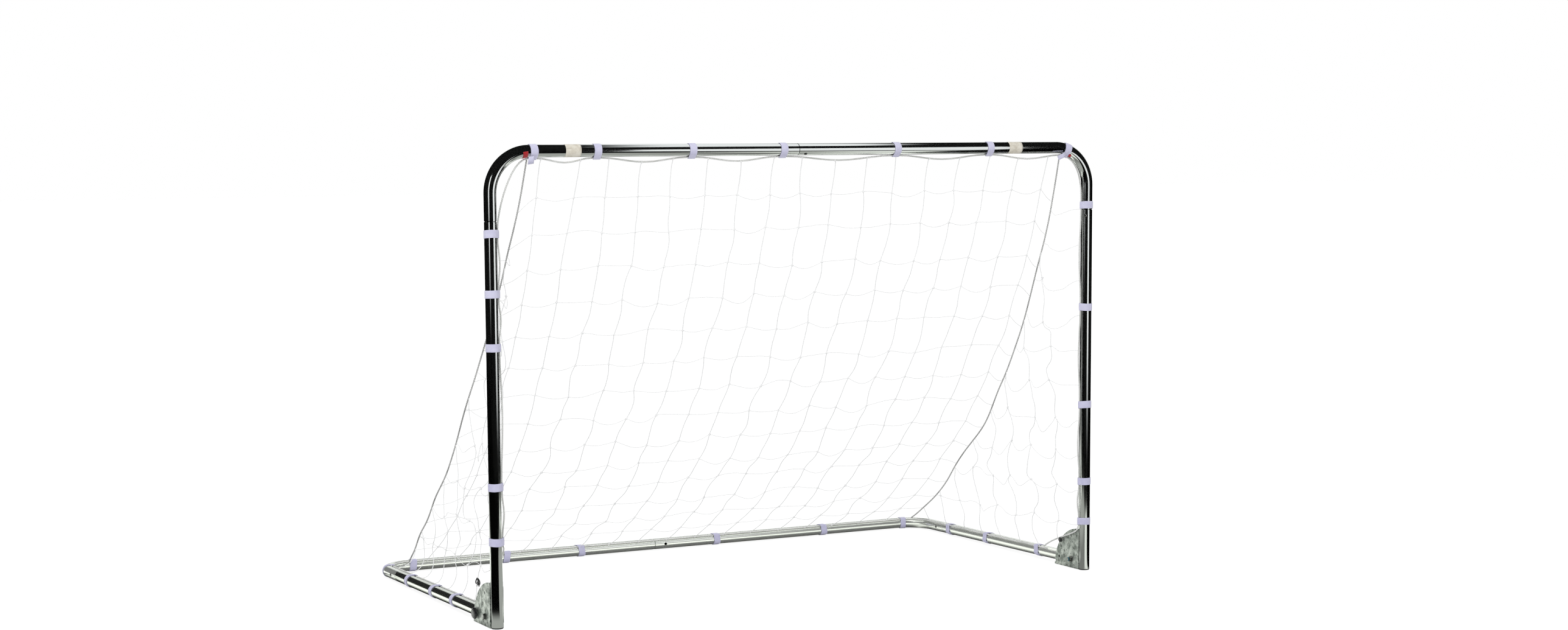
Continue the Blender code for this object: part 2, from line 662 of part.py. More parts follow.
def build_pivot_bolt(side, sign):
    """Bolt, washers and lock nut as they sit in the bracket, with the head outside."""
    outer = PLATE_OFFSET + PLATE_THICKNESS + FIT_GAP
    head_seat = outer + WASHER_THICKNESS
    nut_end = head_seat + NUT_HEIGHT
    profile = [
        (0.0, head_seat + 0.001),
        (WASHER_RADIUS * 0.6, head_seat + 0.001),
        (WASHER_RADIUS * 0.6, head_seat),
        (WASHER_RADIUS, head_seat),
        (WASHER_RADIUS, outer),
        (BOLT_RADIUS, outer),
        (BOLT_RADIUS, -outer),
        (WASHER_RADIUS, -outer),
        (WASHER_RADIUS, -head_seat),
        (NUT_COLLAR_RADIUS, -head_seat),
        (NUT_COLLAR_RADIUS, -nut_end - NUT_COLLAR_HEIGHT),
        (BOLT_RADIUS, -nut_end - NUT_COLLAR_HEIGHT),
        (BOLT_RADIUS, -nut_end - NUT_COLLAR_HEIGHT - BOLT_TAIL),
        (0.0, -nut_end - NUT_COLLAR_HEIGHT - BOLT_TAIL),
    ]
    place = PIVOT + X_AXIS * (sign * UPRIGHT_X)
    outwards = X_AXIS * sign
    bolt = turned(f"pivot_bolt_{side}", profile, place, outwards, BRIGHT_STEEL, steps=12)
    hex_radius = BOLT_HEAD_FLATS / math.sqrt(3)
    head = rod(
        f"bolt_head_{side}", place + outwards * (head_seat - WASHER_THICKNESS / 2),
        place + outwards * (head_seat + BOLT_HEAD_HEIGHT), hex_radius, 6,
    )
    nut = rod(
        f"lock_nut_{side}", place - outwards * (head_seat - WASHER_THICKNESS / 2),
        place - outwards * nut_end, hex_radius, 6,
    )
    combine(bolt, as_guide(head), "UNION")
    combine(bolt, as_guide(nut), "UNION")


def build_release_knob(side, sign):
    """The push knob outside the lock hole. Pushed in, its stem ends flush inside the cheek."""
    stem_end = PLATE_OFFSET + KNOB_TRAVEL
    outer_face = PLATE_OFFSET + PLATE_THICKNESS
    skirt_end = outer_face + FIT_GAP + KNOB_TRAVEL
    underside = outer_face + COLLAR_HEIGHT + FIT_GAP + KNOB_TRAVEL
    top = underside + KNOB_TOP
    stem = LOCK_HOLE_RADIUS * HOLE_FACET - FIT_GAP
    profile = [
        (0.0, top),
        (KNOB_RADIUS * 0.55, top - KNOB_TOP * 0.1),
        (KNOB_RADIUS * 0.85, top - KNOB_TOP * 0.4),
        (KNOB_RADIUS, top - KNOB_TOP * 1.2),
        (KNOB_RADIUS, skirt_end),
        (KNOB_RADIUS - KNOB_SKIRT_WALL, skirt_end),
        (KNOB_RADIUS - KNOB_SKIRT_WALL, underside),
        (stem, underside),
        (stem, stem_end),
        (0.0, stem_end),
    ]
    lock = Vector((0.0, math.cos(BASE_SLOPE), -math.sin(BASE_SLOPE))) * LOCK_REACH
    place = PIVOT + lock + X_AXIS * (sign * UPRIGHT_X)
    turned(f"release_knob_{side}", profile, place, X_AXIS * sign, BLACK_PLASTIC, steps=18)


def build_base_tubes(base):
    """Rear bar halves with their corners, and the side tubes. They are drawn level with the pivots."""
    height = PIVOT_HEIGHT
    centre = Vector((REAR_JOINT_X, REAR_Y, height))
    joint_y = FRONT_Y + SIDE_JOINT_DEPTH
    left = frame_tube(
        "rear_bar_left",
        with_bends(
            [
                Vector((-UPRIGHT_X, joint_y + FIT_GAP, height)),
                Vector((-UPRIGHT_X, REAR_Y, height)),
                centre,
            ],
            REAR_BEND_RADIUS,
        ),
        base, swage_end=True,
    )
    right = frame_tube(
        "rear_bar_right",
        with_bends(
            [
                centre + X_AXIS * FIT_GAP,
                Vector((UPRIGHT_X, REAR_Y, height)),
                Vector((UPRIGHT_X, joint_y + FIT_GAP, height)),
            ],
            REAR_BEND_RADIUS,
        ),
        base,
    )
    place = centre + X_AXIS * BASE_BUTTON_REACH
    drill([left, right], "rear_hole", place, Y_AXIS, BUTTON_RADIUS + BUTTON_CLEARANCE, base)
    snap_button("snap_button_rear_bar", place, Y_AXIS, X_AXIS, base)
    for side, sign in SIDES.items():
        front = Vector((sign * UPRIGHT_X, PIVOT.y - TUBE_END_REACH, height))
        joint = Vector((sign * UPRIGHT_X, joint_y, height))
        tube = frame_tube(f"side_tube_{side}", [front, joint], base, swage_end=True)
        outwards = X_AXIS * sign
        place = joint + Y_AXIS * BASE_BUTTON_REACH
        corner = left if side == "left" else right
        drill([tube, corner], f"side_hole_{side}", place, outwards, BUTTON_RADIUS + BUTTON_CLEARANCE, base)
        snap_button(f"snap_button_side_{side}", place, outwards, Y_AXIS, base)
        pivot = PIVOT + outwards * UPRIGHT_X
        drill([tube], f"pivot_hole_{side}", pivot, outwards, BOLT_RADIUS + BUTTON_CLEARANCE, base)
        lock = pivot + Y_AXIS * LOCK_REACH
        drill([tube], f"lock_hole_{side}", lock, outwards, BUTTON_RADIUS + BUTTON_CLEARANCE, base)
        bore = TUBE_RADIUS - TUBE_WALL / FACET
        sprung_pin(f"lock_button_{side}", lock, outwards, Y_AXIS, TUBE_RADIUS, bore, base)


def build_base_straps(base):
    """Straps on the rear bar and on the side tubes. The rope lies on the inner upper side."""
    height = PIVOT_HEIGHT
    for number, x in enumerate(REAR_STRAPS, 1):
        place = Vector((x, REAR_Y, height))
        base_strap(f"strap_rear_{number}", place, X_AXIS, -Y_AXIS, base)
    centre, place, along, inwards = on_rear_bend(1, REAR_BEND_STRAP_ANGLE)
    bend = (centre, Z_AXIS, REAR_BEND_RADIUS)
    base_strap(f"strap_rear_{len(REAR_STRAPS) + 1}", place, along, inwards, base, bend)
    for side, depths in (("left", LEFT_SIDE_STRAPS), ("right", RIGHT_SIDE_STRAPS)):
        for number, depth in enumerate(depths, 1):
            place = Vector((SIDES[side] * UPRIGHT_X, FRONT_Y + depth, height))
            base_strap(f"strap_side_{side}_{number}", place, Y_AXIS, X_AXIS * -SIDES[side], base)
    centre, place, along, inwards = on_rear_bend(-1, math.pi / 2 - LEFT_BEND_STRAP_ANGLE)
    bend = (centre, Z_AXIS, REAR_BEND_RADIUS)
    base_strap(f"strap_side_left_{len(LEFT_SIDE_STRAPS) + 1}", place, along, inwards, base, bend)


def base_strap(name, place, along, inwards, base, bend=None):
    """A strap of the base frame: the rope lies inside and above, the lap inside and below."""
    rope_direction = (inwards + Z_AXIS).normalized()
    lap_direction = (inwards - Z_AXIS).normalized()
    strap(name, place, along, rope_direction, lap_direction, BASE_LAP_START, base, bend)


def bezier(start, pull_start, pull_end, end, steps):
    """Places along a curve between two ends, without the ends themselves."""
    places = []
    for step in range(1, steps):
        share = step / steps
        rest = 1 - share
        places.append(
            start * rest ** 3 + pull_start * 3 * rest ** 2 * share
            + pull_end * 3 * rest * share ** 2 + end * share ** 3
        )
    return places


def strapped_run(places, ways, drop, between):
    """A rope that runs straight through each strap and hangs clear of the tube between them."""
    half = STRAP_WIDTH / 2 + ROPE_CLEAR_OF_STRAP
    points = []
    for number, (place, way) in enumerate(zip(places, ways)):
        if number:
            last = points[-1]
            start = place - way * half
            for step in range(1, between + 1):
                share = step / (between + 1)
                points.append(last.lerp(start, share) + drop * math.sin(math.pi * share) ** 2)
        points += [place - way * half, place + way * half]
    return points


def upright_rope(side, heights):
    """The rope on an upright, from the net's bottom corner to above the top strap."""
    inwards = X_AXIS * -SIDES[side]
    x = SIDES[side] * (UPRIGHT_X - ROPE_OFFSET)
    places = [Vector((x, FRONT_Y, height)) for height in heights]
    run = strapped_run(places, [Z_AXIS] * len(places), inwards * ROPE_BOW, 1)
    inside = x - SIDES[side] * ROPE_STEP_IN
    start = Vector((inside, FRONT_Y, run[0].z - ROPE_STEP_LENGTH))
    low = start - Z_AXIS * ROPE_STEP_LENGTH * 3
    near = Vector((inside, FRONT_Y + NET_END_DEPTH * 0.65, PIVOT_HEIGHT * 3.2))
    end = Vector((inside, FRONT_Y + NET_END_DEPTH, PIVOT_HEIGHT + ROPE_OFFSET))
    return [end, *reversed(bezier(start, low, near, end, 5)), start, *run]


def build_front_rope():
    """One rope up the left upright, under the crossbar and down the right upright."""
    left = upright_rope("left", LEFT_UPRIGHT_STRAPS)
    right = upright_rope("right", RIGHT_UPRIGHT_STRAPS)
    under = CROSSBAR_Z - ROPE_OFFSET
    places = [Vector((x, FRONT_Y, under)) for x in CROSSBAR_STRAPS]
    top = strapped_run(places, [X_AXIS] * len(places), -Z_AXIS * ROPE_SAG, 3)
    arc = [
        on_top_bend(CROSSBAR_BEND_STRAP_ANGLE + turn)
        for turn in (-STRAP_WIDTH / TOP_BEND_RADIUS * 0.6, 0.0, STRAP_WIDTH / TOP_BEND_RADIUS * 0.6)
    ]
    ends = [place + inwards * ROPE_OFFSET for _, place, _, inwards in arc]
    last = top[-1]
    for share in (0.25, 0.5, 0.75):
        top.append(last.lerp(ends[0], share) - Z_AXIS * ROPE_SAG * math.sin(math.pi * share) ** 2)
    top += ends
    reach = TOP_BEND_RADIUS * 0.45
    corner_left = bezier(left[-1], left[-1] + Z_AXIS * reach, top[0] - X_AXIS * reach, top[0], 5)
    slope = arc[-1][2]
    corner_right = bezier(top[-1], top[-1] + slope * reach, right[-1] + Z_AXIS * reach, right[-1], 5)
    route = [*left, *corner_left, *top, *corner_right, *reversed(right)]
    stations = [(place, 1.0) for place in route]
    mesh = swept_mesh("front_border_rope", stations, ROPE_RADIUS, (ROPE_SIDES - 4) // 2, True)
    add_object("front_border_rope", mesh, WHITE_CORD)
    print("rope stations:", len(route))


def base_rope_points():
    """The base rope: along the inner upper side of both side tubes and of the rear bar."""
    side_shift = ROPE_OFFSET * math.sqrt(0.5)
    height = PIVOT_HEIGHT + side_shift
    x = UPRIGHT_X - side_shift
    y = REAR_Y - side_shift
    start_y = FRONT_Y + NET_END_DEPTH - ROPE_RADIUS * 2
    corners = [
        Vector((-x, start_y, height)),
        Vector((-x, y, height)),
        Vector((x, y, height)),
        Vector((x, start_y, height)),
    ]
    return with_bends(corners, REAR_BEND_RADIUS - side_shift)


def build_base_rope(base):
    """The border rope along the base frame."""
    stations = [(place, 1.0) for place in base_rope_points()]
    mesh = swept_mesh("base_border_rope", stations, ROPE_RADIUS, (ROPE_SIDES - 4) // 2, True)
    add_object("base_border_rope", mesh, WHITE_CORD, base)


def beside_base_rope(place):
    """The place nearest to the given one where a second rope touches the base rope, but for the gap."""
    turn = Matrix.Rotation(-BASE_SLOPE, 3, "X")
    route = [PIVOT + turn @ (point - PIVOT) for point in base_rope_points()]
    nearest = None
    for start, end in zip(route, route[1:]):
        found, share = intersect_point_line(place, start, end)
        found = start.lerp(end, min(1.0, max(0.0, share)))
        if nearest is None or (found - place).length < (nearest - place).length:
            nearest = found
    return nearest + (place - nearest).normalized() * (ROPE_RADIUS * 2 + FIT_GAP)


def seam_foot(side):
    """Where a seam rope ends, beside the base rope near a rear corner."""
    height = REST_HEIGHT + ROPE_OFFSET + ROPE_RADIUS
    x = SIDES[side] * (UPRIGHT_X - NET_FOOT_INSETS[side])
    return beside_base_rope(Vector((x, REAR_Y - NET_REAR_INSET, height)))


SEAM_FEET = {side: seam_foot(side) for side in SIDES}


def seam_point(side, share):
    """A place on a seam, from the top corner to the rear corner."""
    sign = SIDES[side]
    top_inset, foot_inset = NET_TOP_INSETS[side], NET_FOOT_INSETS[side]
    top = Vector((
        sign * (UPRIGHT_X - top_inset), FRONT_Y + NET_BESIDE_ROPE * 0.8,
        CROSSBAR_Z - ROPE_OFFSET - NET_BESIDE_ROPE * 0.6,
    ))
    pull_x = sign * (UPRIGHT_X - (top_inset + foot_inset) / 2)
    pull = Vector((pull_x, FRONT_Y + SEAM_PULL_DEPTH, SEAM_PULL_HEIGHT))
    foot = SEAM_FEET[side]
    return top * (1 - share) ** 2 + pull * 2 * share * (1 - share) + foot * share ** 2


def even_shares(count, samples=200):
    """Shares of a seam that cut it into equally long stretches."""
    places = [seam_point("left", step / samples) for step in range(samples + 1)]
    walked = [0.0]
    for start, end in zip(places, places[1:]):
        walked.append(walked[-1] + (end - start).length)
    shares = []
    for part in range(count + 1):
        wanted = walked[-1] * part / count
        index = next(number for number, length in enumerate(walked) if length >= wanted - 1e-9)
        shares.append(index / samples)
    return shares


SEAM_SHARES = even_shares(NET_ROWS)


def back_point(column, row):
    """A knot of the back panel. Row 0 is under the crossbar."""
    left = seam_point("left", SEAM_SHARES[row])
    right = seam_point("right", SEAM_SHARES[row])
    across = column / NET_COLUMNS
    knot = left.lerp(right, across)
    knot.y -= NET_BELLY * math.sin(math.pi * across) * math.sin(math.pi * row / NET_ROWS)
    if row == NET_ROWS and 0 < column < NET_COLUMNS:
        knot.y = REAR_Y - NET_SIDE_INSET
    return knot


def side_point(side, column, row):
    """A knot of a side panel. Column 0 is at the upright and row 0 at the ground."""
    seam = seam_point(side, SEAM_SHARES[NET_ROWS - row])
    length = NET_ROWS - row
    share = column / length if length else 1.0
    seam_inset = UPRIGHT_X - abs(seam.x)
    corner = UPRIGHT_JOINT_HEIGHT
    above = max(0.0, seam.z - corner) / (seam_point(side, 0).z - corner)
    front_inset = NET_SIDE_INSET + (NET_TOP_INSETS[side] - NET_SIDE_INSET) * above
    inset = front_inset * (1 - share) + seam_inset * share
    inset += NET_BELLY * math.sin(math.pi * share) * math.sin(math.pi * row / NET_ROWS)
    if row == 0 and 0 < share < 1:
        inset = NET_SIDE_INSET
    y = (FRONT_Y + NET_BESIDE_ROPE) * (1 - share) + seam.y * share
    slope = (PIVOT_HEIGHT - REST_HEIGHT) * (1 - share) * (1 - row / NET_ROWS)
    return Vector((SIDES[side] * (UPRIGHT_X - inset), y, seam.z + slope))


def mesh_panel(bm, columns, rows, place, cuts=()):
    """A grid of knots, cut along whole diagonals where the panel is, then moved to its places."""
    grid = bmesh.ops.create_grid(bm, x_segments=columns, y_segments=rows, size=0.5)
    verts = grid["verts"]
    for vert in verts:
        vert.co = Vector(((vert.co.x + 0.5) * columns, (vert.co.y + 0.5) * rows, 0.0))
    for level, keep_below in cuts:
        faces = {face for vert in verts if vert.is_valid for face in vert.link_faces}
        edges = {edge for face in faces for edge in face.edges}
        knots = {vert for face in faces for vert in face.verts}
        direction = Vector((1, 1, 0)) if keep_below else Vector((-1, -1, 0))
        bmesh.ops.bisect_plane(
            bm, geom=[*knots, *edges, *faces], dist=0.001, plane_co=(level / 2, level / 2, 0),
            plane_no=direction, clear_outer=True,
        )
        verts = [vert for vert in verts if vert.is_valid]
    for vert in verts:
        vert.co = place(round(vert.co.x), round(vert.co.y))


def build_net():
    """Back panel and side panels as one piece, with the seam ropes that join them."""
    bm = bmesh.new()
    mesh_panel(bm, NET_COLUMNS, NET_ROWS, back_point)
    for side in SIDES:
        panel = bmesh.new()
        mesh_panel(
            panel, NET_ROWS, NET_ROWS, lambda column, row: side_point(side, column, row),
            ((NET_ROWS, True), (NET_CORNER_CUT, False)),
        )
        part = bpy.data.meshes.new("side_panel")
        panel.to_mesh(part)
        panel.free()
        bm.from_mesh(part)
        bpy.data.meshes.remove(part)
    bmesh.ops.remove_doubles(bm, verts=bm.verts, dist=0.0002)
    bmesh.ops.recalc_face_normals(bm, faces=bm.faces)
    mesh = bpy.data.meshes.new("net")
    bm.to_mesh(mesh)
    gaps = len(bm.faces)
    bm.free()
    net = add_object("net", mesh, WHITE_CORD)
    strands = net.modifiers.new("strands", "WIREFRAME")
    strands.thickness = STRAND_SIZE
    strands.use_even_offset = False
    strands.use_boundary = True
    strands.use_replace = True
    for side in SIDES:
        top = seam_point(side, 0.0)
        tie = Vector((top.x, FRONT_Y + ROPE_RADIUS * 2 + FIT_GAP, CROSSBAR_Z - ROPE_OFFSET))
        places = [(tie, 1.0)] + [(seam_point(side, share), 1.0) for share in even_shares(NET_ROWS + 3)]
        mesh = swept_mesh(f"seam_{side}", places, ROPE_RADIUS, (ROPE_SIDES - 4) // 2, True)
        seam_rope = bpy.data.objects.new(f"seam_{side}", mesh)
        CUTTERS.objects.link(seam_rope)
        combine(net, as_guide(seam_rope), "UNION")
    print("net gaps:", gaps)


def build_goal():
    """All pieces, body by body."""
    base = add_pivot("base_fold_axis", PIVOT, -BASE_SLOPE)
    build_front_tubes()
    for side, sign in SIDES.items():
        build_plates(side, sign)
        build_pivot_bolt(side, sign)
        build_release_knob(side, sign)
    build_base_tubes(base)
    build_front_straps()
    build_base_straps(base)
    build_front_rope()
    build_base_rope(base)
    build_net()


build_goal()
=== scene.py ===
# %% [markdown]
# # A folding soccer goal
# A steel tube frame stands up, a second one lies behind it on two hinge brackets, and a net of white
# twine hangs between them. The measured frame is loaded first. Each lesson then adds one piece or one
# finish in the same place, in metres, with X along the crossbar, Y towards the rear and Z up.

# %% Load the measured frame
import math
import random

import bmesh
import bpy
from mathutils import Matrix, Vector, noise


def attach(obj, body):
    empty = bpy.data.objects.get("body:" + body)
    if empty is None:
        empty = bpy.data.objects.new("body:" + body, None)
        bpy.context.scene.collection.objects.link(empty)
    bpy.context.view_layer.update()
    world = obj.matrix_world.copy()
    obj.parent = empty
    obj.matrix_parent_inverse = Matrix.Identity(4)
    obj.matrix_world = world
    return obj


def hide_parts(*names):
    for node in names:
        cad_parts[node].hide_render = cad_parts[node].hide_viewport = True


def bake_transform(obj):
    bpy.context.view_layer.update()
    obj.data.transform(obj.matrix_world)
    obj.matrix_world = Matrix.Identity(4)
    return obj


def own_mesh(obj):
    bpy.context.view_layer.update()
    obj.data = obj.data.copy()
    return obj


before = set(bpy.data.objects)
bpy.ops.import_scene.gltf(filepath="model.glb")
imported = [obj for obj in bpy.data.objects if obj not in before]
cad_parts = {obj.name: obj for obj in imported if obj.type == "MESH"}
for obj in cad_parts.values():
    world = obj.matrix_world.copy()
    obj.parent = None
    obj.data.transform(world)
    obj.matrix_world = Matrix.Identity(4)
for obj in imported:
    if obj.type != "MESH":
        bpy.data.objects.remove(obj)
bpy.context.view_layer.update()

X_AXIS, Y_AXIS, Z_AXIS = Vector((1, 0, 0)), Vector((0, 1, 0)), Vector((0, 0, 1))
SIDES = {"left": -1, "right": 1}

# %% [markdown]
# The camera stands in front of the goal and well to its left, at the height of the crossbar, and looks
# slightly down. Its place was found by fitting the tubes' known sizes to the picture, so the finished
# goal can be laid over the picture and compared. The shift moves the frame, not the camera.

# %% Camera
CAMERA_PLACE = Vector((-3.1024, -6.1394, 1.199))
CAMERA_YAW, CAMERA_PITCH, CAMERA_ROLL = 0.4684, 0.1038, -0.007
FOCAL_PIXELS, IMAGE_WIDTH, IMAGE_HEIGHT = 3990.9, 2576, 1035
VIEW_CENTRE = (1202.6, 664.15)
SENSOR_WIDTH = 36.0

ahead = Vector((
    math.sin(CAMERA_YAW) * math.cos(CAMERA_PITCH),
    math.cos(CAMERA_YAW) * math.cos(CAMERA_PITCH),
    -math.sin(CAMERA_PITCH),
))
level = Vector((math.cos(CAMERA_YAW), -math.sin(CAMERA_YAW), 0.0))
upward = level.cross(ahead)
camera_right = level * math.cos(CAMERA_ROLL) + upward * math.sin(CAMERA_ROLL)
camera_up = upward * math.cos(CAMERA_ROLL) - level * math.sin(CAMERA_ROLL)
camera_data = bpy.data.cameras.new("camera")
camera_data.sensor_width = SENSOR_WIDTH
camera_data.lens = FOCAL_PIXELS / IMAGE_WIDTH * SENSOR_WIDTH
camera_data.shift_x = (IMAGE_WIDTH / 2 - VIEW_CENTRE[0]) / IMAGE_WIDTH
camera_data.shift_y = (VIEW_CENTRE[1] - IMAGE_HEIGHT / 2) / IMAGE_WIDTH
camera = bpy.data.objects.new("camera", camera_data)
bpy.context.scene.collection.objects.link(camera)
turn = Matrix((camera_right, camera_up, -ahead)).transposed().to_4x4()
camera.matrix_world = Matrix.Translation(CAMERA_PLACE) @ turn
bpy.context.scene.camera = camera
bpy.context.scene.view_settings.view_transform = "Standard"
print("lens", round(camera_data.lens, 2), "mm")

# %% [markdown]
# The goal stands in a white studio. The floor and the world show pure white to the camera, and the
# floor still takes a faint shadow. Bright tube is a mirror, so what stands round it matters as much as
# the tube: one white card hangs overhead and a lower one over the rear bar, two upright cards stand in
# front, the ground is pale right below and behind, and the sky glows low at the rear right. The rest is
# black, which gives the black core with white lines that polished tube shows. The camera, and all that
# is matt, never see these.

# %% Node helpers
def fill(tree, node, values):
    """Fill a node's inputs, with a link where the value is a socket."""
    for key, value in values.items():
        if isinstance(value, bpy.types.NodeSocket):
            tree.links.new(value, node.inputs[key])
        else:
            node.inputs[key].default_value = value
    return node


def add_node(tree, kind, values=None, **settings):
    """A node with its settings and its socket values."""
    node = tree.nodes.new(kind)
    for key, value in settings.items():
        setattr(node, key, value)
    return fill(tree, node, values or {})


def math_node(tree, operation, *values):
    """One step of arithmetic."""
    return add_node(tree, "ShaderNodeMath", dict(enumerate(values)), operation=operation).outputs[0]


def product(tree, value, *factors):
    """A value multiplied by each factor in turn."""
    for factor in factors:
        value = math_node(tree, "MULTIPLY", value, factor)
    return value


def total(tree, value, *others):
    """A value with each other one added in turn."""
    for other in others:
        value = math_node(tree, "ADD", value, other)
    return value


def smooth_step(tree, value, low, high):
    """0 at low, 1 at high, and smooth between them."""
    return add_node(
        tree, "ShaderNodeMapRange", {"Value": value, "From Min": low, "From Max": high},
        interpolation_type="SMOOTHSTEP",
    ).outputs["Result"]


def mix_colour(tree, factor, first, second):
    """Two colours mixed by a factor."""
    return add_node(tree, "ShaderNodeMix", {0: factor, 6: first, 7: second}, data_type="RGBA").outputs[2]


def split(tree, vector):
    """The X, Y and Z of a vector."""
    return tuple(add_node(tree, "ShaderNodeSeparateXYZ", {0: vector}).outputs)


def by_ray(tree, others, direct):
    """One shader for what the camera sees, and another for all other rays."""
    path = add_node(tree, "ShaderNodeLightPath").outputs
    seen = math_node(tree, "MAXIMUM", path["Is Camera Ray"], path["Is Transmission Ray"])
    return add_node(tree, "ShaderNodeMixShader", {0: seen, 1: others, 2: direct}).outputs[0]


def emptied(owner):
    """The node tree of a world or a material, emptied."""
    owner.use_nodes = True
    owner.node_tree.nodes.clear()
    return owner.node_tree


def grey(value):
    """An even grey."""
    return (value, value, value, 1.0)

# %% Studio world
world = bpy.data.worlds.new("studio")
bpy.context.scene.world = world
tree = emptied(world)
direction = dict(zip("XYZ", split(tree, add_node(tree, "ShaderNodeTexCoord").outputs["Generated"])))
glow = 0.85
for axis, low, high in (("X", 0.04, 0.12), ("Y", 0.30, 0.50), ("Z", 0.02, 0.10), ("Z", 0.52, 0.45)):
    glow = product(tree, glow, smooth_step(tree, direction[axis], low, high))
mirror, room, paper = (
    add_node(tree, "ShaderNodeBackground", {"Color": colour, "Strength": strength}).outputs[0]
    for colour, strength in (
        ((0.97, 0.99, 0.98, 1.0), total(tree, glow, 0.004)),
        ((0.985, 0.99, 1.0, 1.0), 0.78),
        (grey(1.0), 1.0),
    )
)
glossy = add_node(tree, "ShaderNodeLightPath").outputs["Is Glossy Ray"]
lit = add_node(tree, "ShaderNodeMixShader", {0: glossy, 1: room, 2: mirror}).outputs[0]
add_node(tree, "ShaderNodeOutputWorld", {"Surface": by_ray(tree, lit, paper)})
print("world:", len(tree.nodes), "nodes")

# %% Floor and lamp
def add_mesh_object(name, mesh, material=None):
    """Link a mesh as an object at the origin."""
    item = bpy.data.objects.new(name, mesh)
    bpy.context.scene.collection.objects.link(item)
    if material is not None:
        mesh.materials.clear()
        mesh.materials.append(material)
    return item


def rectangle(name, corners, material):
    """A flat sheet with four corners."""
    mesh = bpy.data.meshes.new(name)
    mesh.from_pydata(corners, [], [(0, 1, 2, 3)])
    return add_mesh_object(name, mesh, material)


def level_corners(xs, ys, height):
    """The corners of a level rectangle."""
    return [(xs[0], ys[0], height), (xs[1], ys[0], height), (xs[1], ys[1], height), (xs[0], ys[1], height)]


floor_paper = bpy.data.materials.new("white_floor")
tree = emptied(floor_paper)
matt = add_node(tree, "ShaderNodeBsdfDiffuse", {"Color": grey(0.8)})
shade = add_node(tree, "ShaderNodeBsdfDiffuse", {"Color": grey(0.22)})
glow = add_node(tree, "ShaderNodeEmission", {"Color": grey(1.0), "Strength": 0.86})
paper = add_node(tree, "ShaderNodeAddShader", {0: shade.outputs[0], 1: glow.outputs[0]})
add_node(tree, "ShaderNodeOutputMaterial", {"Surface": by_ray(tree, matt.outputs[0], paper.outputs[0])})
studio_floor = rectangle("studio_floor", level_corners((-60, 60), (-60, 60), 0), floor_paper)
studio_floor.visible_glossy = False

lamp_data = bpy.data.lights.new("soft_lamp", "AREA")
lamp_data.size, lamp_data.energy = 3.5, 150.0
lamp = bpy.data.objects.new("soft_lamp", lamp_data)
bpy.context.scene.collection.objects.link(lamp)
lamp.location = (-3.2, -4.2, 5.0)
lamp.rotation_euler = (Vector((0, 0, 0.5)) - lamp.location).to_track_quat("-Z", "Y").to_euler()
lamp.visible_glossy = False
print("lamp:", lamp_data.energy, "W")

# %% White cards
def shining(name, corners):
    """A card that only the metal sees: its material's tree, and X, Y and Z on it."""
    material = bpy.data.materials.new(name)
    material.cycles.emission_sampling = "NONE"
    tree = emptied(material)
    card = rectangle(name, corners, material)
    card.visible_camera = card.visible_diffuse = card.visible_transmission = card.visible_shadow = False
    return tree, *split(tree, add_node(tree, "ShaderNodeTexCoord").outputs["Object"])


def shine(tree, colour, strength):
    """End a card's material in its light."""
    lit = add_node(tree, "ShaderNodeEmission", {"Color": colour, "Strength": strength})
    add_node(tree, "ShaderNodeOutputMaterial", {"Surface": lit.outputs[0]})


def upright_card(name, middle, way, reach, low, top, fade):
    """An upright white card that fades towards its lower edge."""
    first, last = Vector(middle) - Vector(way) * reach[0], Vector(middle) + Vector(way) * reach[1]
    corners = [(*first.xy, low), (*last.xy, low), (*last.xy, top), (*first.xy, top)]
    tree, _, _, height = shining(name, corners)
    shine(tree, (0.97, 0.985, 1.0, 1.0), smooth_step(tree, height, *fade))


upright_card("right_card", (1.06, -1.92, 0), (0.4305, 0.9026, 0), (0.95, 0.55), 0.10, 1.62, (0.12, 0.60))
upright_card("left_card", (-1.944, -1.531, 0), (-0.716, 0.697, 0), (0.24, 0.22), 0.40, 1.80, (0.60, 1.12))
tree, x, _, _ = shining("overhead_card", level_corners((-0.05, 1.25), (-1.26, 1.5), 2.6))
overhead = product(tree, smooth_step(tree, x, -0.05, 0.35), smooth_step(tree, x, 1.25, 0.95))
shine(tree, (0.96, 0.98, 1.0, 1.0), overhead)

# The rear bar sees a lower card, which is clear from above so that the crossbar looks through it.
tree, *_ = shining("rear_card", level_corners((-0.7, 1.7), (-0.36, 1.2), 1.0))
from_below = add_node(tree, "ShaderNodeNewGeometry").outputs["Backfacing"]
white = add_node(tree, "ShaderNodeEmission", {"Color": (0.98, 1.0, 0.98, 1.0), "Strength": 1.5})
clear = add_node(tree, "ShaderNodeBsdfTransparent")
one_way = add_node(tree, "ShaderNodeMixShader", {0: from_below, 1: clear.outputs[0], 2: white.outputs[0]})
add_node(tree, "ShaderNodeOutputMaterial", {"Surface": one_way.outputs[0]})

# %% Ground that the metal sees
LEFT_FOOT, RIGHT_FOOT = (-0.8985, -0.457), (0.8985, -0.457)
tree, x, y, _ = shining("mirror_ground", level_corners((-8, 8), (-3, 5), -0.001))


def beyond(corner, normal, low, high):
    """A soft mask of the ground in front of a line through a corner."""
    parts = [
        product(tree, math_node(tree, "SUBTRACT", value, start), share)
        for value, start, share in zip((x, y), corner, normal)
    ]
    return smooth_step(tree, total(tree, *parts), low, high)


def either(*masks):
    """The larger of some masks."""
    largest = masks[0]
    for mask in masks[1:]:
        largest = math_node(tree, "MAXIMUM", largest, mask)
    return largest


def away_from(value, place):
    """How far a value is from a place, on either side of it."""
    return math_node(tree, "ABSOLUTE", math_node(tree, "SUBTRACT", value, place))


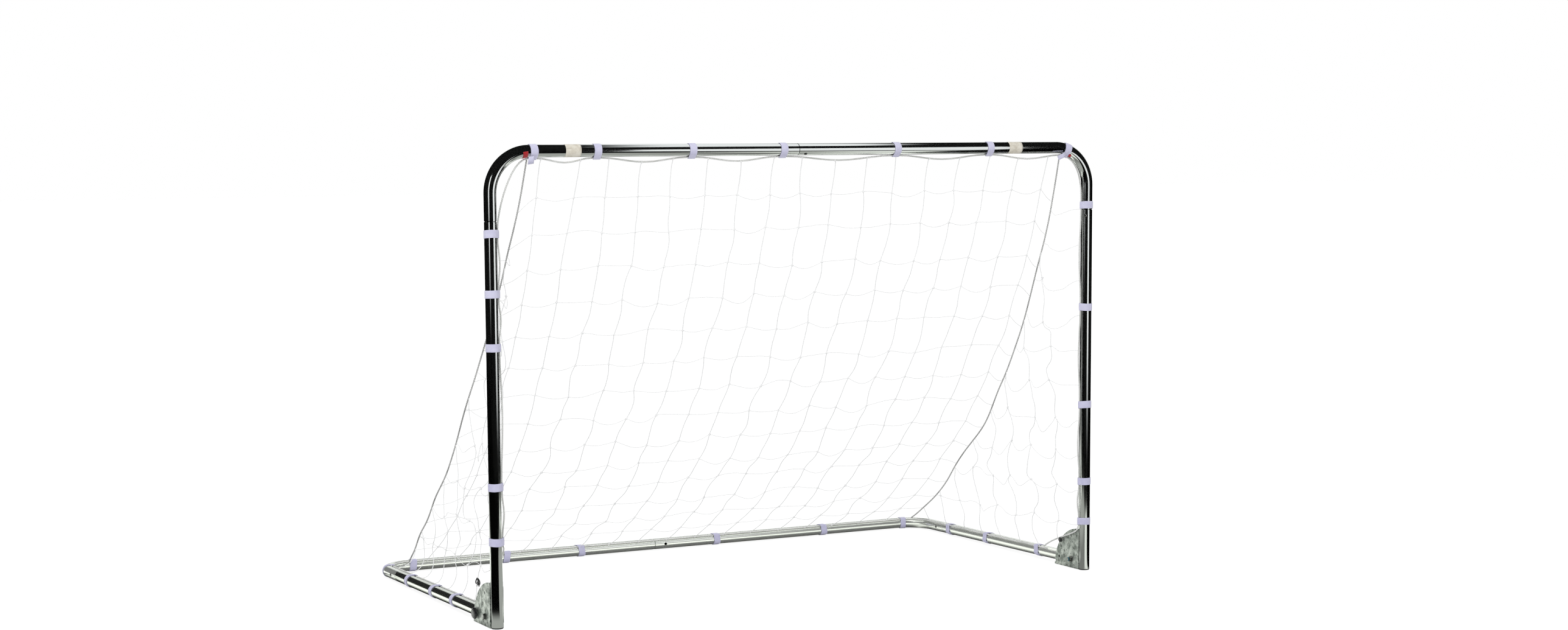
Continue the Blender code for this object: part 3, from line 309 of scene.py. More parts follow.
spot = add_node(tree, "ShaderNodeCombineXYZ", {"X": x, "Y": y}).outputs[0]
to_foot = add_node(tree, "ShaderNodeVectorMath", {0: spot, 1: (*LEFT_FOOT, 0.0)}, operation="DISTANCE")
left_open = either(
    beyond(LEFT_FOOT, (0.927, 0.375), -0.01, 0.04), beyond(LEFT_FOOT, (0.60, 0.80), -0.02, 0.05),
    smooth_step(tree, to_foot.outputs["Value"], 0.27, 0.12),
)
right_open = either(
    beyond(RIGHT_FOOT, (0.91, 0.42), 0.05, -0.01), beyond(RIGHT_FOOT, (0.82, -0.57), 0.05, -0.01),
)
to_tube = away_from(math_node(tree, "ABSOLUTE", x), RIGHT_FOOT[0])
to_side = either(to_tube, math_node(tree, "SUBTRACT", -0.40, y))
to_base = math_node(tree, "MINIMUM", away_from(y, 0.44), to_side)
near_base = product(tree, smooth_step(tree, to_base, 0.36, 0.14), smooth_step(tree, y, -0.40, -0.32))
strip_in_front = product(
    tree, beyond(RIGHT_FOOT, (0.946, -0.326), -0.02, 0.03), smooth_step(tree, y, -0.44, -0.50),
)
lit = total(
    tree, 0.42, product(tree, near_base, 1.05), product(tree, smooth_step(tree, x, 0.1, 0.6), -0.20),
    product(tree, strip_in_front, 0.70),
)
# The last mask is a painted contact shadow: the mirrored ground turns dark within a few centimetres of the
# base tubes.
edges = [
    smooth_step(tree, value, low, high)
    for value, low, high in ((y, -1.75, -1.40), (y, 2.8, 1.3), (x, -2.4, -1.2), (to_base, 0.010, 0.045))
]
shine(tree, (0.97, 1.0, 0.94, 1.0), product(tree, lit, left_open, right_open, *edges))
print("mirrored ground:", len(tree.nodes), "nodes")

# %% [markdown]
# Two shader groups are shared by the finishes. *Mottling* gives the cloudy patches and fine speckle of
# a zinc coat. *Cloth threads* gives the crossing threads of tape. They put out only masks and heights,
# so each finish keeps its own colours and its own shader.

# %% Shared shader groups
def new_tree(name, tree_kind, inputs, outputs):
    """A node tree with named sockets, and its first and last nodes."""
    tree = bpy.data.node_groups.new(name, tree_kind)
    for label, kind, value in inputs:
        socket = tree.interface.new_socket(label, in_out="INPUT", socket_type="NodeSocket" + kind)
        if value is not None:
            socket.default_value = value
    for label, kind in outputs:
        tree.interface.new_socket(label, in_out="OUTPUT", socket_type="NodeSocket" + kind)
    return tree, tree.nodes.new("NodeGroupInput"), tree.nodes.new("NodeGroupOutput")


def noise_mask(tree, vector, scale, detail, roughness=0.5):
    """A cloud of noise."""
    values = {"Vector": vector, "Scale": scale, "Detail": detail, "Roughness": roughness}
    return add_node(tree, "ShaderNodeTexNoise", values).outputs["Fac"]


mottling, given, result = new_tree(
    "mottling", "ShaderNodeTree",
    [("Vector", "Vector", None), ("Patches", "Float", 30.0), ("Speckle", "Float", 260.0)],
    [("Cloud", "Float"), ("Speckle", "Float"), ("Height", "Float")],
)
cloud = noise_mask(mottling, given.outputs["Vector"], given.outputs["Patches"], 5.0, 0.62)
fine = noise_mask(mottling, given.outputs["Vector"], given.outputs["Speckle"], 3.0, 0.6)
fill(mottling, result, {
    "Cloud": smooth_step(mottling, cloud, 0.36, 0.66),
    "Speckle": smooth_step(mottling, fine, 0.55, 0.66),
    "Height": total(mottling, product(mottling, cloud, 0.75), product(mottling, fine, 0.25)),
})

threads, given, result = new_tree(
    "cloth_threads", "ShaderNodeTree",
    [("Vector", "Vector", None), ("Pitch", "Float", 0.0011)], [("Weave", "Float"), ("Height", "Float")],
)
turns = math_node(threads, "DIVIDE", 2 * math.pi, given.outputs["Pitch"])
along, across, _ = split(threads, given.outputs["Vector"])
warp, weft = (math_node(threads, "SINE", product(threads, value, turns)) for value in (along, across))
weave = total(threads, product(threads, warp, weft, 0.5), 0.5)
fuzz = noise_mask(threads, given.outputs["Vector"], 900.0, 2.0)
fill(threads, result, {"Weave": weave, "Height": total(threads, weave, fuzz)})
print("shader groups:", [group.name for group in bpy.data.node_groups])

# %% [markdown]
# A finish is a Principled shader whose colour, roughness and bump come from those masks. Metal coats
# read the tube's own coordinates, which run along the tube and round it, so a streak follows a bend.

# %% Finishes
def new_finish(name, **constants):
    """A material with a Principled shader whose constants are set on its own sockets."""
    material = bpy.data.materials.new(name)
    material.use_nodes = True
    tree = material.node_tree
    shader = tree.nodes["Principled BSDF"]
    fill(tree, shader, {key.replace("_", " ").title(): value for key, value in constants.items()})
    return material, tree, shader


def own_space(tree, attribute=None, stretch=(1, 1, 1)):
    """Coordinates from a piece's own attribute, or Object coordinates where there is none."""
    if attribute is None:
        source = add_node(tree, "ShaderNodeTexCoord").outputs["Object"]
    else:
        source = add_node(tree, "ShaderNodeAttribute", attribute_name=attribute).outputs["Vector"]
    return add_node(tree, "ShaderNodeMapping", {"Vector": source, "Scale": stretch}).outputs["Vector"]


def mottles(tree, space, patches, speckle):
    """The masks and heights of the mottling, with patches and speckle of these scales."""
    values = {"Vector": space, "Patches": patches, "Speckle": speckle}
    return add_node(tree, "ShaderNodeGroup", values, node_tree=mottling).outputs


def relief(tree, height, strength, distance):
    """A normal with bumps."""
    values = {"Height": height, "Strength": strength, "Distance": distance}
    return add_node(tree, "ShaderNodeBump", values).outputs["Normal"]


def mottled(name, clear, cloudy, rough, scales, bump, stain=None, space=None, stretch=(1, 1, 1), **constants):
    """A finish with cloudy patches, in its roughness too, and with dark speckle if it has a stain."""
    material, tree, shader = new_finish(name, **constants)
    marks = mottles(tree, own_space(tree, space, stretch), *scales)
    colour = mix_colour(tree, marks["Cloud"], clear, cloudy)
    if stain is not None:
        colour = mix_colour(tree, product(tree, marks["Speckle"], 0.7), colour, stain)
    values = {"Value": marks["Cloud"], "To Min": rough[0], "To Max": rough[1]}
    roughness = add_node(tree, "ShaderNodeMapRange", values).outputs["Result"]
    fill(tree, shader, {
        "Base Color": colour, "Roughness": roughness, "Normal": relief(tree, marks["Height"], *bump),
    })
    return material


def tube_coat(name, bright, dull, stain, rough, scales, stretch, bump, metallic):
    """Zinc or chrome on tube, streaked along it."""
    return mottled(
        name, bright, dull, rough, scales, (bump, 0.002), stain, "tube_space", (stretch, 1, 1),
        metallic=metallic,
    )


front_coat = tube_coat(
    "bright_tube_coat", (0.88, 0.89, 0.88, 1), (0.66, 0.69, 0.66, 1), (0.30, 0.32, 0.30, 1),
    (0.05, 0.15), (26.0, 240.0), 0.35, 0.20, 1.0,
)
base_coat = tube_coat(
    "dull_tube_coat", (0.98, 0.99, 0.96, 1), (0.74, 0.78, 0.69, 1), (0.14, 0.16, 0.13, 1),
    (0.12, 0.26), (30.0, 200.0), 0.5, 0.45, 0.72,
)
side_coat = tube_coat(
    "side_tube_coat", (0.86, 0.88, 0.82, 1), (0.56, 0.60, 0.52, 1), (0.16, 0.18, 0.15, 1),
    (0.08, 0.22), (30.0, 200.0), 0.5, 0.40, 0.98,
)
plate_coat = mottled(
    "bracket_coat", (0.52, 0.56, 0.51, 1), (0.20, 0.23, 0.20, 1), (0.28, 0.48), (52.0, 110.0), (0.45, 0.002),
    stain=(0.035, 0.04, 0.035, 1), metallic=0.50,
)
bolt_coat = mottled(
    "bolt_zinc", (0.34, 0.34, 0.33, 1), (0.20, 0.20, 0.19, 1), (0.18, 0.34), (160.0, 900.0), (0.12, 0.002),
    stain=(0.06, 0.06, 0.055, 1), metallic=1.0,
)
PLASTIC_ROUGHNESS, PLASTIC_GRAIN, PLASTIC_BUMP = (0.22, 0.42), (90.0, 1400.0), (0.15, 0.0006)
black_moulding = mottled(
    "black_moulding", (0.013, 0.013, 0.014, 1), (0.035, 0.035, 0.036, 1),
    PLASTIC_ROUGHNESS, PLASTIC_GRAIN, PLASTIC_BUMP,
)
nylon_insert = mottled(
    "blue_nylon", (0.03, 0.22, 0.30, 1), (0.06, 0.30, 0.38, 1),
    PLASTIC_ROUGHNESS, PLASTIC_GRAIN, PLASTIC_BUMP,
)


def tape(name, colour, shadow, pitch):
    """Hook-and-loop or woven tape: threads, fuzz, cloudy patches, and painted shade that darkens it near the
    ground.
    """
    material, tree, shader = new_finish(name, roughness=0.88, sheen_weight=0.25, sheen_roughness=0.5)
    values = {"Vector": own_space(tree, "tape_space"), "Pitch": pitch}
    weave = add_node(tree, "ShaderNodeGroup", values, node_tree=threads).outputs
    marks = mottles(tree, own_space(tree), 55.0, 700.0)
    tint = mix_colour(tree, weave["Weave"], shadow, colour)
    height = split(tree, own_space(tree))[2]
    # Painted shade: the tape darkens towards its shadow colour below 0.75 m, most at 0.20 m and lower.
    low_painted_shade = product(tree, smooth_step(tree, height, 0.75, 0.20), 0.45)
    patches_and_painted_shade = total(tree, product(tree, marks["Cloud"], 0.40), low_painted_shade)
    fill(tree, shader, {
        "Base Color": mix_colour(tree, patches_and_painted_shade, tint, shadow),
        "Normal": relief(tree, weave["Height"], 0.5, 0.0004),
    })
    return material


strap_tape = tape("strap_tape", (0.80, 0.79, 0.92, 1), (0.50, 0.49, 0.68, 1), 0.0016)
red_tape = tape("red_tape", (0.62, 0.015, 0.02, 1), (0.33, 0.008, 0.012, 1), 0.0011)


def twine(name, colour, shadow, lay):
    """Twisted cord: slanting fibres, with painted shade in the grooves between them."""
    material, tree, shader = new_finish(name, roughness=0.9, sheen_weight=0.2)
    fibres = noise_mask(tree, own_space(tree, "rope_space"), lay, 3.0)
    clouds = noise_mask(tree, own_space(tree), 14.0, 2.0)
    # Painted shade: where the fibre noise is low, the cord takes its shadow colour.
    mask = product(tree, smooth_step(tree, fibres, 0.35, 0.65), smooth_step(tree, clouds, 0.2, 0.6))
    fill(tree, shader, {
        "Base Color": mix_colour(tree, mask, shadow, colour), "Normal": relief(tree, fibres, 0.4, 0.0005),
    })
    return material


border_cord = twine("border_cord", (0.96, 0.96, 0.94, 1), (0.58, 0.59, 0.56, 1), 700.0)
seam_cord = twine("seam_cord", (0.80, 0.80, 0.78, 1), (0.30, 0.30, 0.29, 1), 900.0)
net_twine = twine("net_twine", (0.96, 0.96, 0.95, 1), (0.84, 0.84, 0.84, 1), 1200.0)
dark_cord = twine("dark_cord", (0.05, 0.055, 0.05, 1), (0.015, 0.015, 0.015, 1), 1200.0)
label_paper = mottled(
    "cream_paper", (0.78, 0.74, 0.64, 1), (0.63, 0.58, 0.48, 1), (0.4, 0.6), (70.0, 500.0), (0.35, 0.001),
    coat_weight=0.25, coat_roughness=0.25,
)
print("finishes:", len(bpy.data.materials))

# %% [markdown]
# The brackets, bolts, buttons, knobs and foot plugs already have their true shape in the frame, so
# they keep it and only take a finish.

# %% Finish the metal and plastic fittings
FITTING_FINISH = {
    "hinge_plate": plate_coat, "pivot_bolt": bolt_coat, "snap_button": bolt_coat,
    "lock_button": bolt_coat, "release_knob": black_moulding, "foot_cap": black_moulding,
}
dressed = 0
for name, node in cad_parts.items():
    for start, finish in FITTING_FINISH.items():
        if name.startswith(start):
            for material_slot in node.material_slots:
                material_slot.material = finish
            dressed += 1
print("fittings finished:", dressed)

# %% [markdown]
# Each frame tube is one length of 32 mm steel tube, bent cold and narrowed at one end so that it slips
# into the next. A tube follows a path, so a node tree sweeps a circle along its centre line, and the
# point radius narrows it at the swage. The tree also stores the tube's own coordinates for the finish.
# Solidify then gives the wall, and a Boolean drills the button holes.

# %% Sizes of the frame
TUBE_RADIUS, TUBE_WALL = 0.016, 0.0014
FIT_GAP = 0.0003
UPRIGHT_X, FRONT_Y, REAR_Y, CROSSBAR_Z = 0.8985, -0.457, 0.457, 1.203
TOP_BEND, REAR_BEND = 0.105, 0.085
PIVOT_Y, PIVOT_Z = -0.420, 0.0265
REST_HEIGHT = 0.017884
BASE_SLOPE = math.asin((PIVOT_Z - REST_HEIGHT) / (REAR_Y - PIVOT_Y))
SWAGE_SHARE = (TUBE_RADIUS * math.cos(math.pi / 14) - TUBE_WALL - FIT_GAP) / TUBE_RADIUS
SWAGE_STEPS = ((-0.06, SWAGE_SHARE), (0.0, SWAGE_SHARE), (0.0015, 0.985), (0.004, 1.0))
TUBE_SIDES = 36


def on_base(place):
    """A place of the base frame, drawn level with the pivots, as it lies sloping on the ground."""
    pivot = Vector((0.0, PIVOT_Y, PIVOT_Z))
    return pivot + Matrix.Rotation(-BASE_SLOPE, 3, "X") @ (Vector(place) - pivot)


def at_side(side, y, z):
    """A place on the left or the right of the frame."""
    return Vector((SIDES[side] * UPRIGHT_X, y, z))


def rounded(corners, radius, steps=22):
    """A route of straight runs with a round bend in each inner corner."""
    route = [corners[0]]
    for before, corner, after in zip(corners, corners[1:], corners[2:]):
        back, onward = (before - corner).normalized(), (after - corner).normalized()
        angle = math.pi - back.angle(onward)
        reach = radius * math.tan(angle / 2)
        centre = corner + (back + onward).normalized() * (radius / math.cos(angle / 2))
        first = corner + back * reach - centre
        axis = first.cross(corner + onward * reach - centre).normalized()
        turns = [Matrix.Rotation(angle * step / steps, 3, axis) for step in range(steps + 1)]
        route += [centre + turn @ first for turn in turns]
    return route + [corners[-1]]


def route_curve(name, points, radii=None):
    """A poly curve object through the points."""
    curve = bpy.data.curves.new(name, "CURVE")
    curve.dimensions = "3D"
    spline = curve.splines.new("POLY")
    spline.points.add(len(points) - 1)
    for index, (point, place) in enumerate(zip(spline.points, points)):
        point.co = (*place, 1.0)
        point.radius = radii[index] if radii else 1.0
    item = bpy.data.objects.new(name, curve)
    bpy.context.scene.collection.objects.link(item)
    return item


print("tube radius:", TUBE_RADIUS, "crossbar height:", round(CROSSBAR_Z, 4))

# %% Sweep tree
def geometry_tree(name, inputs):
    """A geometry tree with named inputs, and its first and last nodes."""
    geometry = ("Geometry", "Geometry")
    sockets = [(*geometry, None), *inputs, ("Material", "Material", None)]
    return new_tree(name, "GeometryNodeTree", sockets, [geometry])


def ring(tree, sides, radius):
    """A circle to sweep, and the places on it."""
    circle = add_node(tree, "GeometryNodeCurvePrimitiveCircle", {"Resolution": sides, "Radius": radius})
    return circle.outputs["Curve"], add_node(tree, "GeometryNodeInputPosition").outputs[0]


def sweep(tree, rail, profile, capped):
    """Sweep a profile along a rail. The rail's point radius scales the profile."""
    values = {"Curve": rail, "Profile Curve": profile, "Fill Caps": capped}
    node = add_node(tree, "GeometryNodeCurveToMesh", values)
    if "Scale" in node.inputs:
        fill(tree, node, {"Scale": add_node(tree, "GeometryNodeInputRadius").outputs[0]})
    return node.outputs["Mesh"]


def capture(tree, geometry, kind, value):
    """Keep a value on the points of a curve, so that it survives the sweep."""
    node = add_node(tree, "GeometryNodeCaptureAttribute", domain="POINT")
    node.capture_items.new(kind, "kept")
    return tuple(fill(tree, node, {0: geometry, 1: value}).outputs)[:2]


def finish_tree(tree, geometry, given, result, label, along, around):
    """Store the piece's own coordinates, shade it smooth, and end in real mesh with its material."""
    across = split(tree, around)
    own = add_node(tree, "ShaderNodeCombineXYZ", {"X": along, "Y": across[0], "Z": across[1]})
    store = add_node(
        tree, "GeometryNodeStoreNamedAttribute", {"Geometry": geometry, "Name": label},
        data_type="FLOAT_VECTOR", domain="POINT",
    )
    fill(tree, store, {"Value": own.outputs[0]})
    smooth = add_node(tree, "GeometryNodeSetShadeSmooth", {"Geometry": store.outputs[0]})
    real = add_node(tree, "GeometryNodeRealizeInstances", {"Geometry": smooth.outputs[0]})
    values = {"Geometry": real.outputs[0], "Material": given.outputs["Material"]}
    fill(tree, result, {0: add_node(tree, "GeometryNodeSetMaterial", values).outputs[0]})


tube_tree, given, result = geometry_tree("bent_tube", [("Radius", "Float", 0.016), ("Sides", "Int", 36)])
distance = add_node(tube_tree, "GeometryNodeSplineParameter").outputs["Length"]
rail, along = capture(tube_tree, given.outputs["Geometry"], "FLOAT", distance)
circle, position = ring(tube_tree, given.outputs["Sides"], given.outputs["Radius"])
profile, around = capture(tube_tree, circle, "VECTOR", position)
finish_tree(tube_tree, sweep(tube_tree, rail, profile, False), given, result, "tube_space", along, around)


def grown(item, tree, **values):
    """The object with a node tree's modifier on it, whose inputs are filled by name."""
    modifier = item.modifiers.new(tree.name, "NODES")
    modifier.node_group = tree
    for socket in tree.interface.items_tree:
        if socket.item_type == "SOCKET" and socket.in_out == "INPUT" and socket.name in values:
            modifier[socket.identifier] = values[socket.name]
    return item


def made_mesh(item, name):
    """The evaluated object as a plain mesh object, with no modifiers left."""
    graph = bpy.context.evaluated_depsgraph_get()
    shape = item.evaluated_get(graph)
    mesh = bpy.data.meshes.new_from_object(shape, preserve_all_data_layers=True, depsgraph=graph)
    mesh.name = name
    old = item.data
    bpy.data.objects.remove(item)
    if isinstance(old, bpy.types.Curve):
        bpy.data.curves.remove(old)
    return add_mesh_object(name, mesh)


def seat(item, body, node=None):
    """Hide the CAD node that a finished piece stands for, and attach the piece to its body."""
    if node is not None:
        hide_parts(node)
    if body is not None:
        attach(item, body)
    return item


print("tube tree nodes:", len(tube_tree.nodes))

# %% Draw the frame tubes
def hole_cutter(place, direction, radius=0.0044):
    """A short round bar through both walls."""
    mesh = bpy.data.meshes.new("hole")
    bm = bmesh.new()
    matrix = Matrix.Translation(place) @ direction.to_track_quat("Z", "Y").to_matrix().to_4x4()
    depth = TUBE_RADIUS * 2.6
    bmesh.ops.create_cone(
        bm, cap_ends=True, segments=18, radius1=radius, radius2=radius, depth=depth, matrix=matrix,
    )
    bm.to_mesh(mesh)
    bm.free()
    return add_mesh_object("hole", mesh)


def rings_beside(route, place, margin=0.0062):
    """The route with one more station just before a hole and one just after it."""
    for index, (start, end) in enumerate(zip(route, route[1:])):
        way = end - start
        share = (place - start).dot(way) / way.length_squared
        if 0 <= share <= 1 and (start.lerp(end, share) - place).length < 0.002:
            shares = [share + turn * margin / way.length for turn in (-1, 1)]
            stations = [start.lerp(end, near) for near in shares if 0.02 < near < 0.98]
            return route[:index + 1] + stations + route[index + 1:]
    return route


def frame_tube(name, route, finish, body, swage_start=False, swage_end=False, holes=()):
    """A tube that stands for the CAD node of its name, narrowed at its swaged ends."""
    for place, _ in holes:
        route = rings_beside(route, place)
    stations = [(place, 1.0) for place in route]
    if swage_start:
        way = (route[1] - route[0]).normalized()
        stations[0:1] = [(route[0] + way * reach, share) for reach, share in SWAGE_STEPS]
    if swage_end:
        way = (route[-2] - route[-1]).normalized()
        stations[-1:] = [(route[-1] + way * reach, share) for reach, share in reversed(SWAGE_STEPS)]
    item = route_curve(name + "_route", [place for place, _ in stations], [share for _, share in stations])
    grown(item, tube_tree, Radius=TUBE_RADIUS, Sides=TUBE_SIDES, Material=finish)
    tube = made_mesh(item, name + "_tube")
    wall = tube.modifiers.new("wall", "SOLIDIFY")
    wall.thickness, wall.offset, wall.use_even_offset = TUBE_WALL, -1, True
    cutters = [hole_cutter(place, direction) for place, direction in holes]
    for cutter in cutters:
        drill = tube.modifiers.new("drill", "BOOLEAN")
        drill.operation, drill.solver, drill.object = "DIFFERENCE", "EXACT", cutter
    tube = made_mesh(tube, name + "_tube")
    tube.data.set_sharp_from_angle(angle=math.radians(35))
    for cutter in cutters:
        bpy.data.objects.remove(cutter)
    return seat(tube, body, name)


JOINT_X, JOINT_Z, REAR_JOINT_X, SIDE_JOINT_Y = -0.029, 1.028, -0.035, FRONT_Y + 0.745
top_corners = {side: at_side(side, FRONT_Y, CROSSBAR_Z) for side in SIDES}
top_joints = {side: at_side(side, FRONT_Y, JOINT_Z) for side in SIDES}
bar_centre = Vector((JOINT_X, FRONT_Y, CROSSBAR_Z))
bar_hole = (bar_centre + X_AXIS * 0.020, Vector((0.0, -0.64, -0.77)).normalized())
upright_holes = {
    side: (at_side(side, FRONT_Y, JOINT_Z - 0.0163), Vector((-sign, -1.0, 0.0)).normalized())
    for side, sign in SIDES.items()
}
bar_routes = {
    "left": [top_joints["left"], top_corners["left"], bar_centre],
    "right": [bar_centre + X_AXIS * FIT_GAP, top_corners["right"], top_joints["right"]],
}
tubes = [
    frame_tube(
        f"crossbar_{side}", rounded(route, TOP_BEND), front_coat, "front_frame",
        swage_start=side == "left", swage_end=True, holes=[bar_hole, upright_holes[side]],
    )
    for side, route in bar_routes.items()
]
for side in SIDES:
    foot, top = at_side(side, FRONT_Y, 0.0033), at_side(side, FRONT_Y, JOINT_Z - FIT_GAP)
    route = [foot.lerp(top, step / 12) for step in range(13)]
    tubes.append(frame_tube(f"upright_{side}", route, front_coat, "front_frame", holes=[upright_holes[side]]))

rear_centre = Vector((REAR_JOINT_X, REAR_Y, PIVOT_Z))
rear_hole = (on_base(rear_centre + X_AXIS * 0.034), on_base(rear_centre + Y_AXIS) - on_base(rear_centre))
for side in SIDES:
    is_left = side == "left"
    corner = [
        at_side(side, SIDE_JOINT_Y + FIT_GAP, PIVOT_Z), at_side(side, REAR_Y, PIVOT_Z),
        rear_centre + X_AXIS * (0.0 if is_left else FIT_GAP),
    ]
    route = [on_base(place) for place in rounded(corner, REAR_BEND)]
    side_hole = (on_base(at_side(side, SIDE_JOINT_Y + 0.034, PIVOT_Z)), X_AXIS)
    tubes.append(frame_tube(
        f"rear_bar_{side}", route, base_coat, "base_frame", swage_end=is_left, holes=[rear_hole, side_hole],
    ))
    start, joint = at_side(side, PIVOT_Y - 0.010, PIVOT_Z), at_side(side, SIDE_JOINT_Y, PIVOT_Z)
    pivot_hole = (at_side(side, PIVOT_Y, PIVOT_Z), X_AXIS)
    lock_hole = (on_base(at_side(side, PIVOT_Y + 0.060, PIVOT_Z)), X_AXIS)
    route = [on_base(start.lerp(joint, step / 10)) for step in range(11)]
    tubes.append(frame_tube(
        f"side_tube_{side}", route, side_coat if is_left else base_coat, "base_frame", swage_end=True,
        holes=[side_hole, pivot_hole, lock_hole],
    ))
print("tubes:", len(tubes), "faces:", sum(len(tube.data.polygons) for tube in tubes))

# %% [markdown]
# The border rope is laid from three strands. Real strands would be three long helices; one sweep of a
# three-lobed section that turns as it travels gives the same look with far fewer faces. The route
# repeats the rope of the frame: straight through each strap and slack between them.

# %% Rope tree
rope_tree, given, result = geometry_tree(
    "laid_rope",
    [("Radius", "Float", 0.0025), ("Lay", "Float", 0.016), ("Step", "Float", 0.0022),
     ("Hollow", "Float", 0.17), ("Sides", "Int", 12)],
)
values = {"Curve": given.outputs["Geometry"], "Length": given.outputs["Step"]}
rail = add_node(rope_tree, "GeometryNodeResampleCurve", values, mode="LENGTH")
distance = add_node(rope_tree, "GeometryNodeSplineParameter").outputs["Length"]
spin = product(rope_tree, math_node(rope_tree, "DIVIDE", distance, given.outputs["Lay"]), 2 * math.pi)
tilted = add_node(rope_tree, "GeometryNodeSetCurveTilt", {"Curve": rail.outputs["Curve"], "Tilt": spin})
rail, along = capture(rope_tree, tilted.outputs["Curve"], "FLOAT", distance)
circle, position = ring(rope_tree, given.outputs["Sides"], given.outputs["Radius"])
point = split(rope_tree, position)
angle = math_node(rope_tree, "ARCTAN2", point[1], point[0])
lobes = math_node(rope_tree, "COSINE", product(rope_tree, angle, 3.0))
dent = product(rope_tree, total(rope_tree, lobes, -1.0), 0.5)
scale = total(rope_tree, product(rope_tree, dent, given.outputs["Hollow"]), 1.0)
scaled = add_node(rope_tree, "ShaderNodeVectorMath", {0: position, "Scale": scale}, operation="SCALE")
lobed = add_node(rope_tree, "GeometryNodeSetPosition", {"Geometry": circle, "Position": scaled.outputs[0]})
profile, around = capture(rope_tree, lobed.outputs["Geometry"], "VECTOR", position)
finish_tree(rope_tree, sweep(rope_tree, rail, profile, True), given, result, "rope_space", along, around)


def rope(name, points, material, radius=0.0025, lay=0.015, step=0.0022, sides=12, hollow=0.28):
    """A twisted rope through the points, as a plain mesh."""
    item = route_curve(name + "_route", points)
    grown(item, rope_tree, Radius=radius, Lay=lay, Step=step, Sides=sides, Hollow=hollow, Material=material)
    return made_mesh(item, name)


print("rope tree nodes:", len(rope_tree.nodes))

# %% Routes of the border ropes
ROPE_RADIUS, ROPE_SAG = 0.0025, 0.011
ROPE_OFFSET = TUBE_RADIUS + FIT_GAP + ROPE_RADIUS
STRAP_WIDTH, ROPE_CLEAR_OF_STRAP = 0.020, 0.0015
CROSSBAR_STRAPS = (-0.7835, -0.608, -0.340, -0.074, 0.272, 0.570)
UPRIGHT_STRAPS = {"left": (0.222, 0.361, 0.713, 0.847, 0.997), "right": (0.141, 0.256, 0.475, 0.754, 1.041)}
REAR_STRAPS = (-0.803, -0.513, -0.279, 0.172, 0.545)
SIDE_STRAPS = {"left": (0.293, 0.455, 0.652), "right": (0.220, 0.494, 0.708)}
TOP_BEND_STRAP, REAR_BEND_STRAP, SIDE_BEND_STRAP = math.radians(19), math.radians(16), math.radians(72)
NET_END_DEPTH = 0.170
TOP_BEND_CENTRE = Vector((UPRIGHT_X - TOP_BEND, FRONT_Y, CROSSBAR_Z - TOP_BEND))


def bezier(start, pull_start, pull_end, end, steps):
    """Places along a curve between two ends, without the ends."""
    places = []
    for step in range(1, steps):
        share = step / steps
        rest = 1 - share
        places.append(
            start * rest ** 3 + pull_start * 3 * rest ** 2 * share
            + pull_end * 3 * rest * share ** 2 + end * share ** 3
        )
    return places


def strapped_run(places, way, drop, between):
    """Straight through each strap, and slack between them."""
    half = STRAP_WIDTH / 2 + ROPE_CLEAR_OF_STRAP
    points = []
    for number, place in enumerate(places):
        if number:
            last, start = points[-1], place - way * half
            for step in range(1, between + 1):
                share = step / (between + 1)
                points.append(last.lerp(start, share) + drop * math.sin(math.pi * share) ** 2)
        points += [place - way * half, place + way * half]
    return points


def on_top_bend(angle):
    """A place on the right top bend, the tube's way there, and the way inwards."""
    outwards = Vector((math.sin(angle), 0.0, math.cos(angle)))
    way = Vector((math.cos(angle), 0.0, -math.sin(angle)))
    return TOP_BEND_CENTRE + outwards * TOP_BEND, way, -outwards


def upright_rope(side):
    """The rope of an upright, from the net's bottom corner upwards."""
    sign = SIDES[side]
    x = sign * (UPRIGHT_X - ROPE_OFFSET)
    places = [Vector((x, FRONT_Y, height)) for height in UPRIGHT_STRAPS[side]]
    run = strapped_run(places, Z_AXIS, X_AXIS * -sign * 0.005, 7)
    inside = x - sign * 0.0027
    start = Vector((inside, FRONT_Y, run[0].z - 0.007))
    near = Vector((inside, FRONT_Y + NET_END_DEPTH * 0.65, PIVOT_Z * 3.2))
    end = Vector((inside, FRONT_Y + NET_END_DEPTH, PIVOT_Z + ROPE_OFFSET))
    return [end, *reversed(bezier(start, start - Z_AXIS * 0.021, near, end, 10)), start, *run]


left_run, right_run = upright_rope("left"), upright_rope("right")
under_bar = [Vector((x, FRONT_Y, CROSSBAR_Z - ROPE_OFFSET)) for x in CROSSBAR_STRAPS]
top_run = strapped_run(under_bar, X_AXIS, -Z_AXIS * ROPE_SAG, 9)
bend_ends = []
for turn in (-0.6, 0.0, 0.6):
    place, way, inwards = on_top_bend(TOP_BEND_STRAP + turn * STRAP_WIDTH / TOP_BEND)
    bend_ends.append((place + inwards * ROPE_OFFSET, way))
last = top_run[-1]
for step in range(1, 8):
    sag = Z_AXIS * ROPE_SAG * math.sin(math.pi * step / 8) ** 2
    top_run.append(last.lerp(bend_ends[0][0], step / 8) - sag)
top_run += [place for place, _ in bend_ends]
reach = TOP_BEND * 0.45
turn_left = bezier(left_run[-1], left_run[-1] + Z_AXIS * reach, top_run[0] - X_AXIS * reach, top_run[0], 12)
pull_out, pull_in = top_run[-1] + bend_ends[-1][1] * reach, right_run[-1] + Z_AXIS * reach
turn_right = bezier(top_run[-1], pull_out, pull_in, right_run[-1], 12)
front_route = [*left_run, *turn_left, *top_run, *turn_right, *reversed(right_run)]
shift = ROPE_OFFSET * math.sqrt(0.5)
rope_x, rope_y, rope_z = UPRIGHT_X - shift, REAR_Y - shift, PIVOT_Z + shift
rope_start = FRONT_Y + NET_END_DEPTH - ROPE_RADIUS * 2
rope_corners = [(-rope_x, rope_start), (-rope_x, rope_y), (rope_x, rope_y), (rope_x, rope_start)]
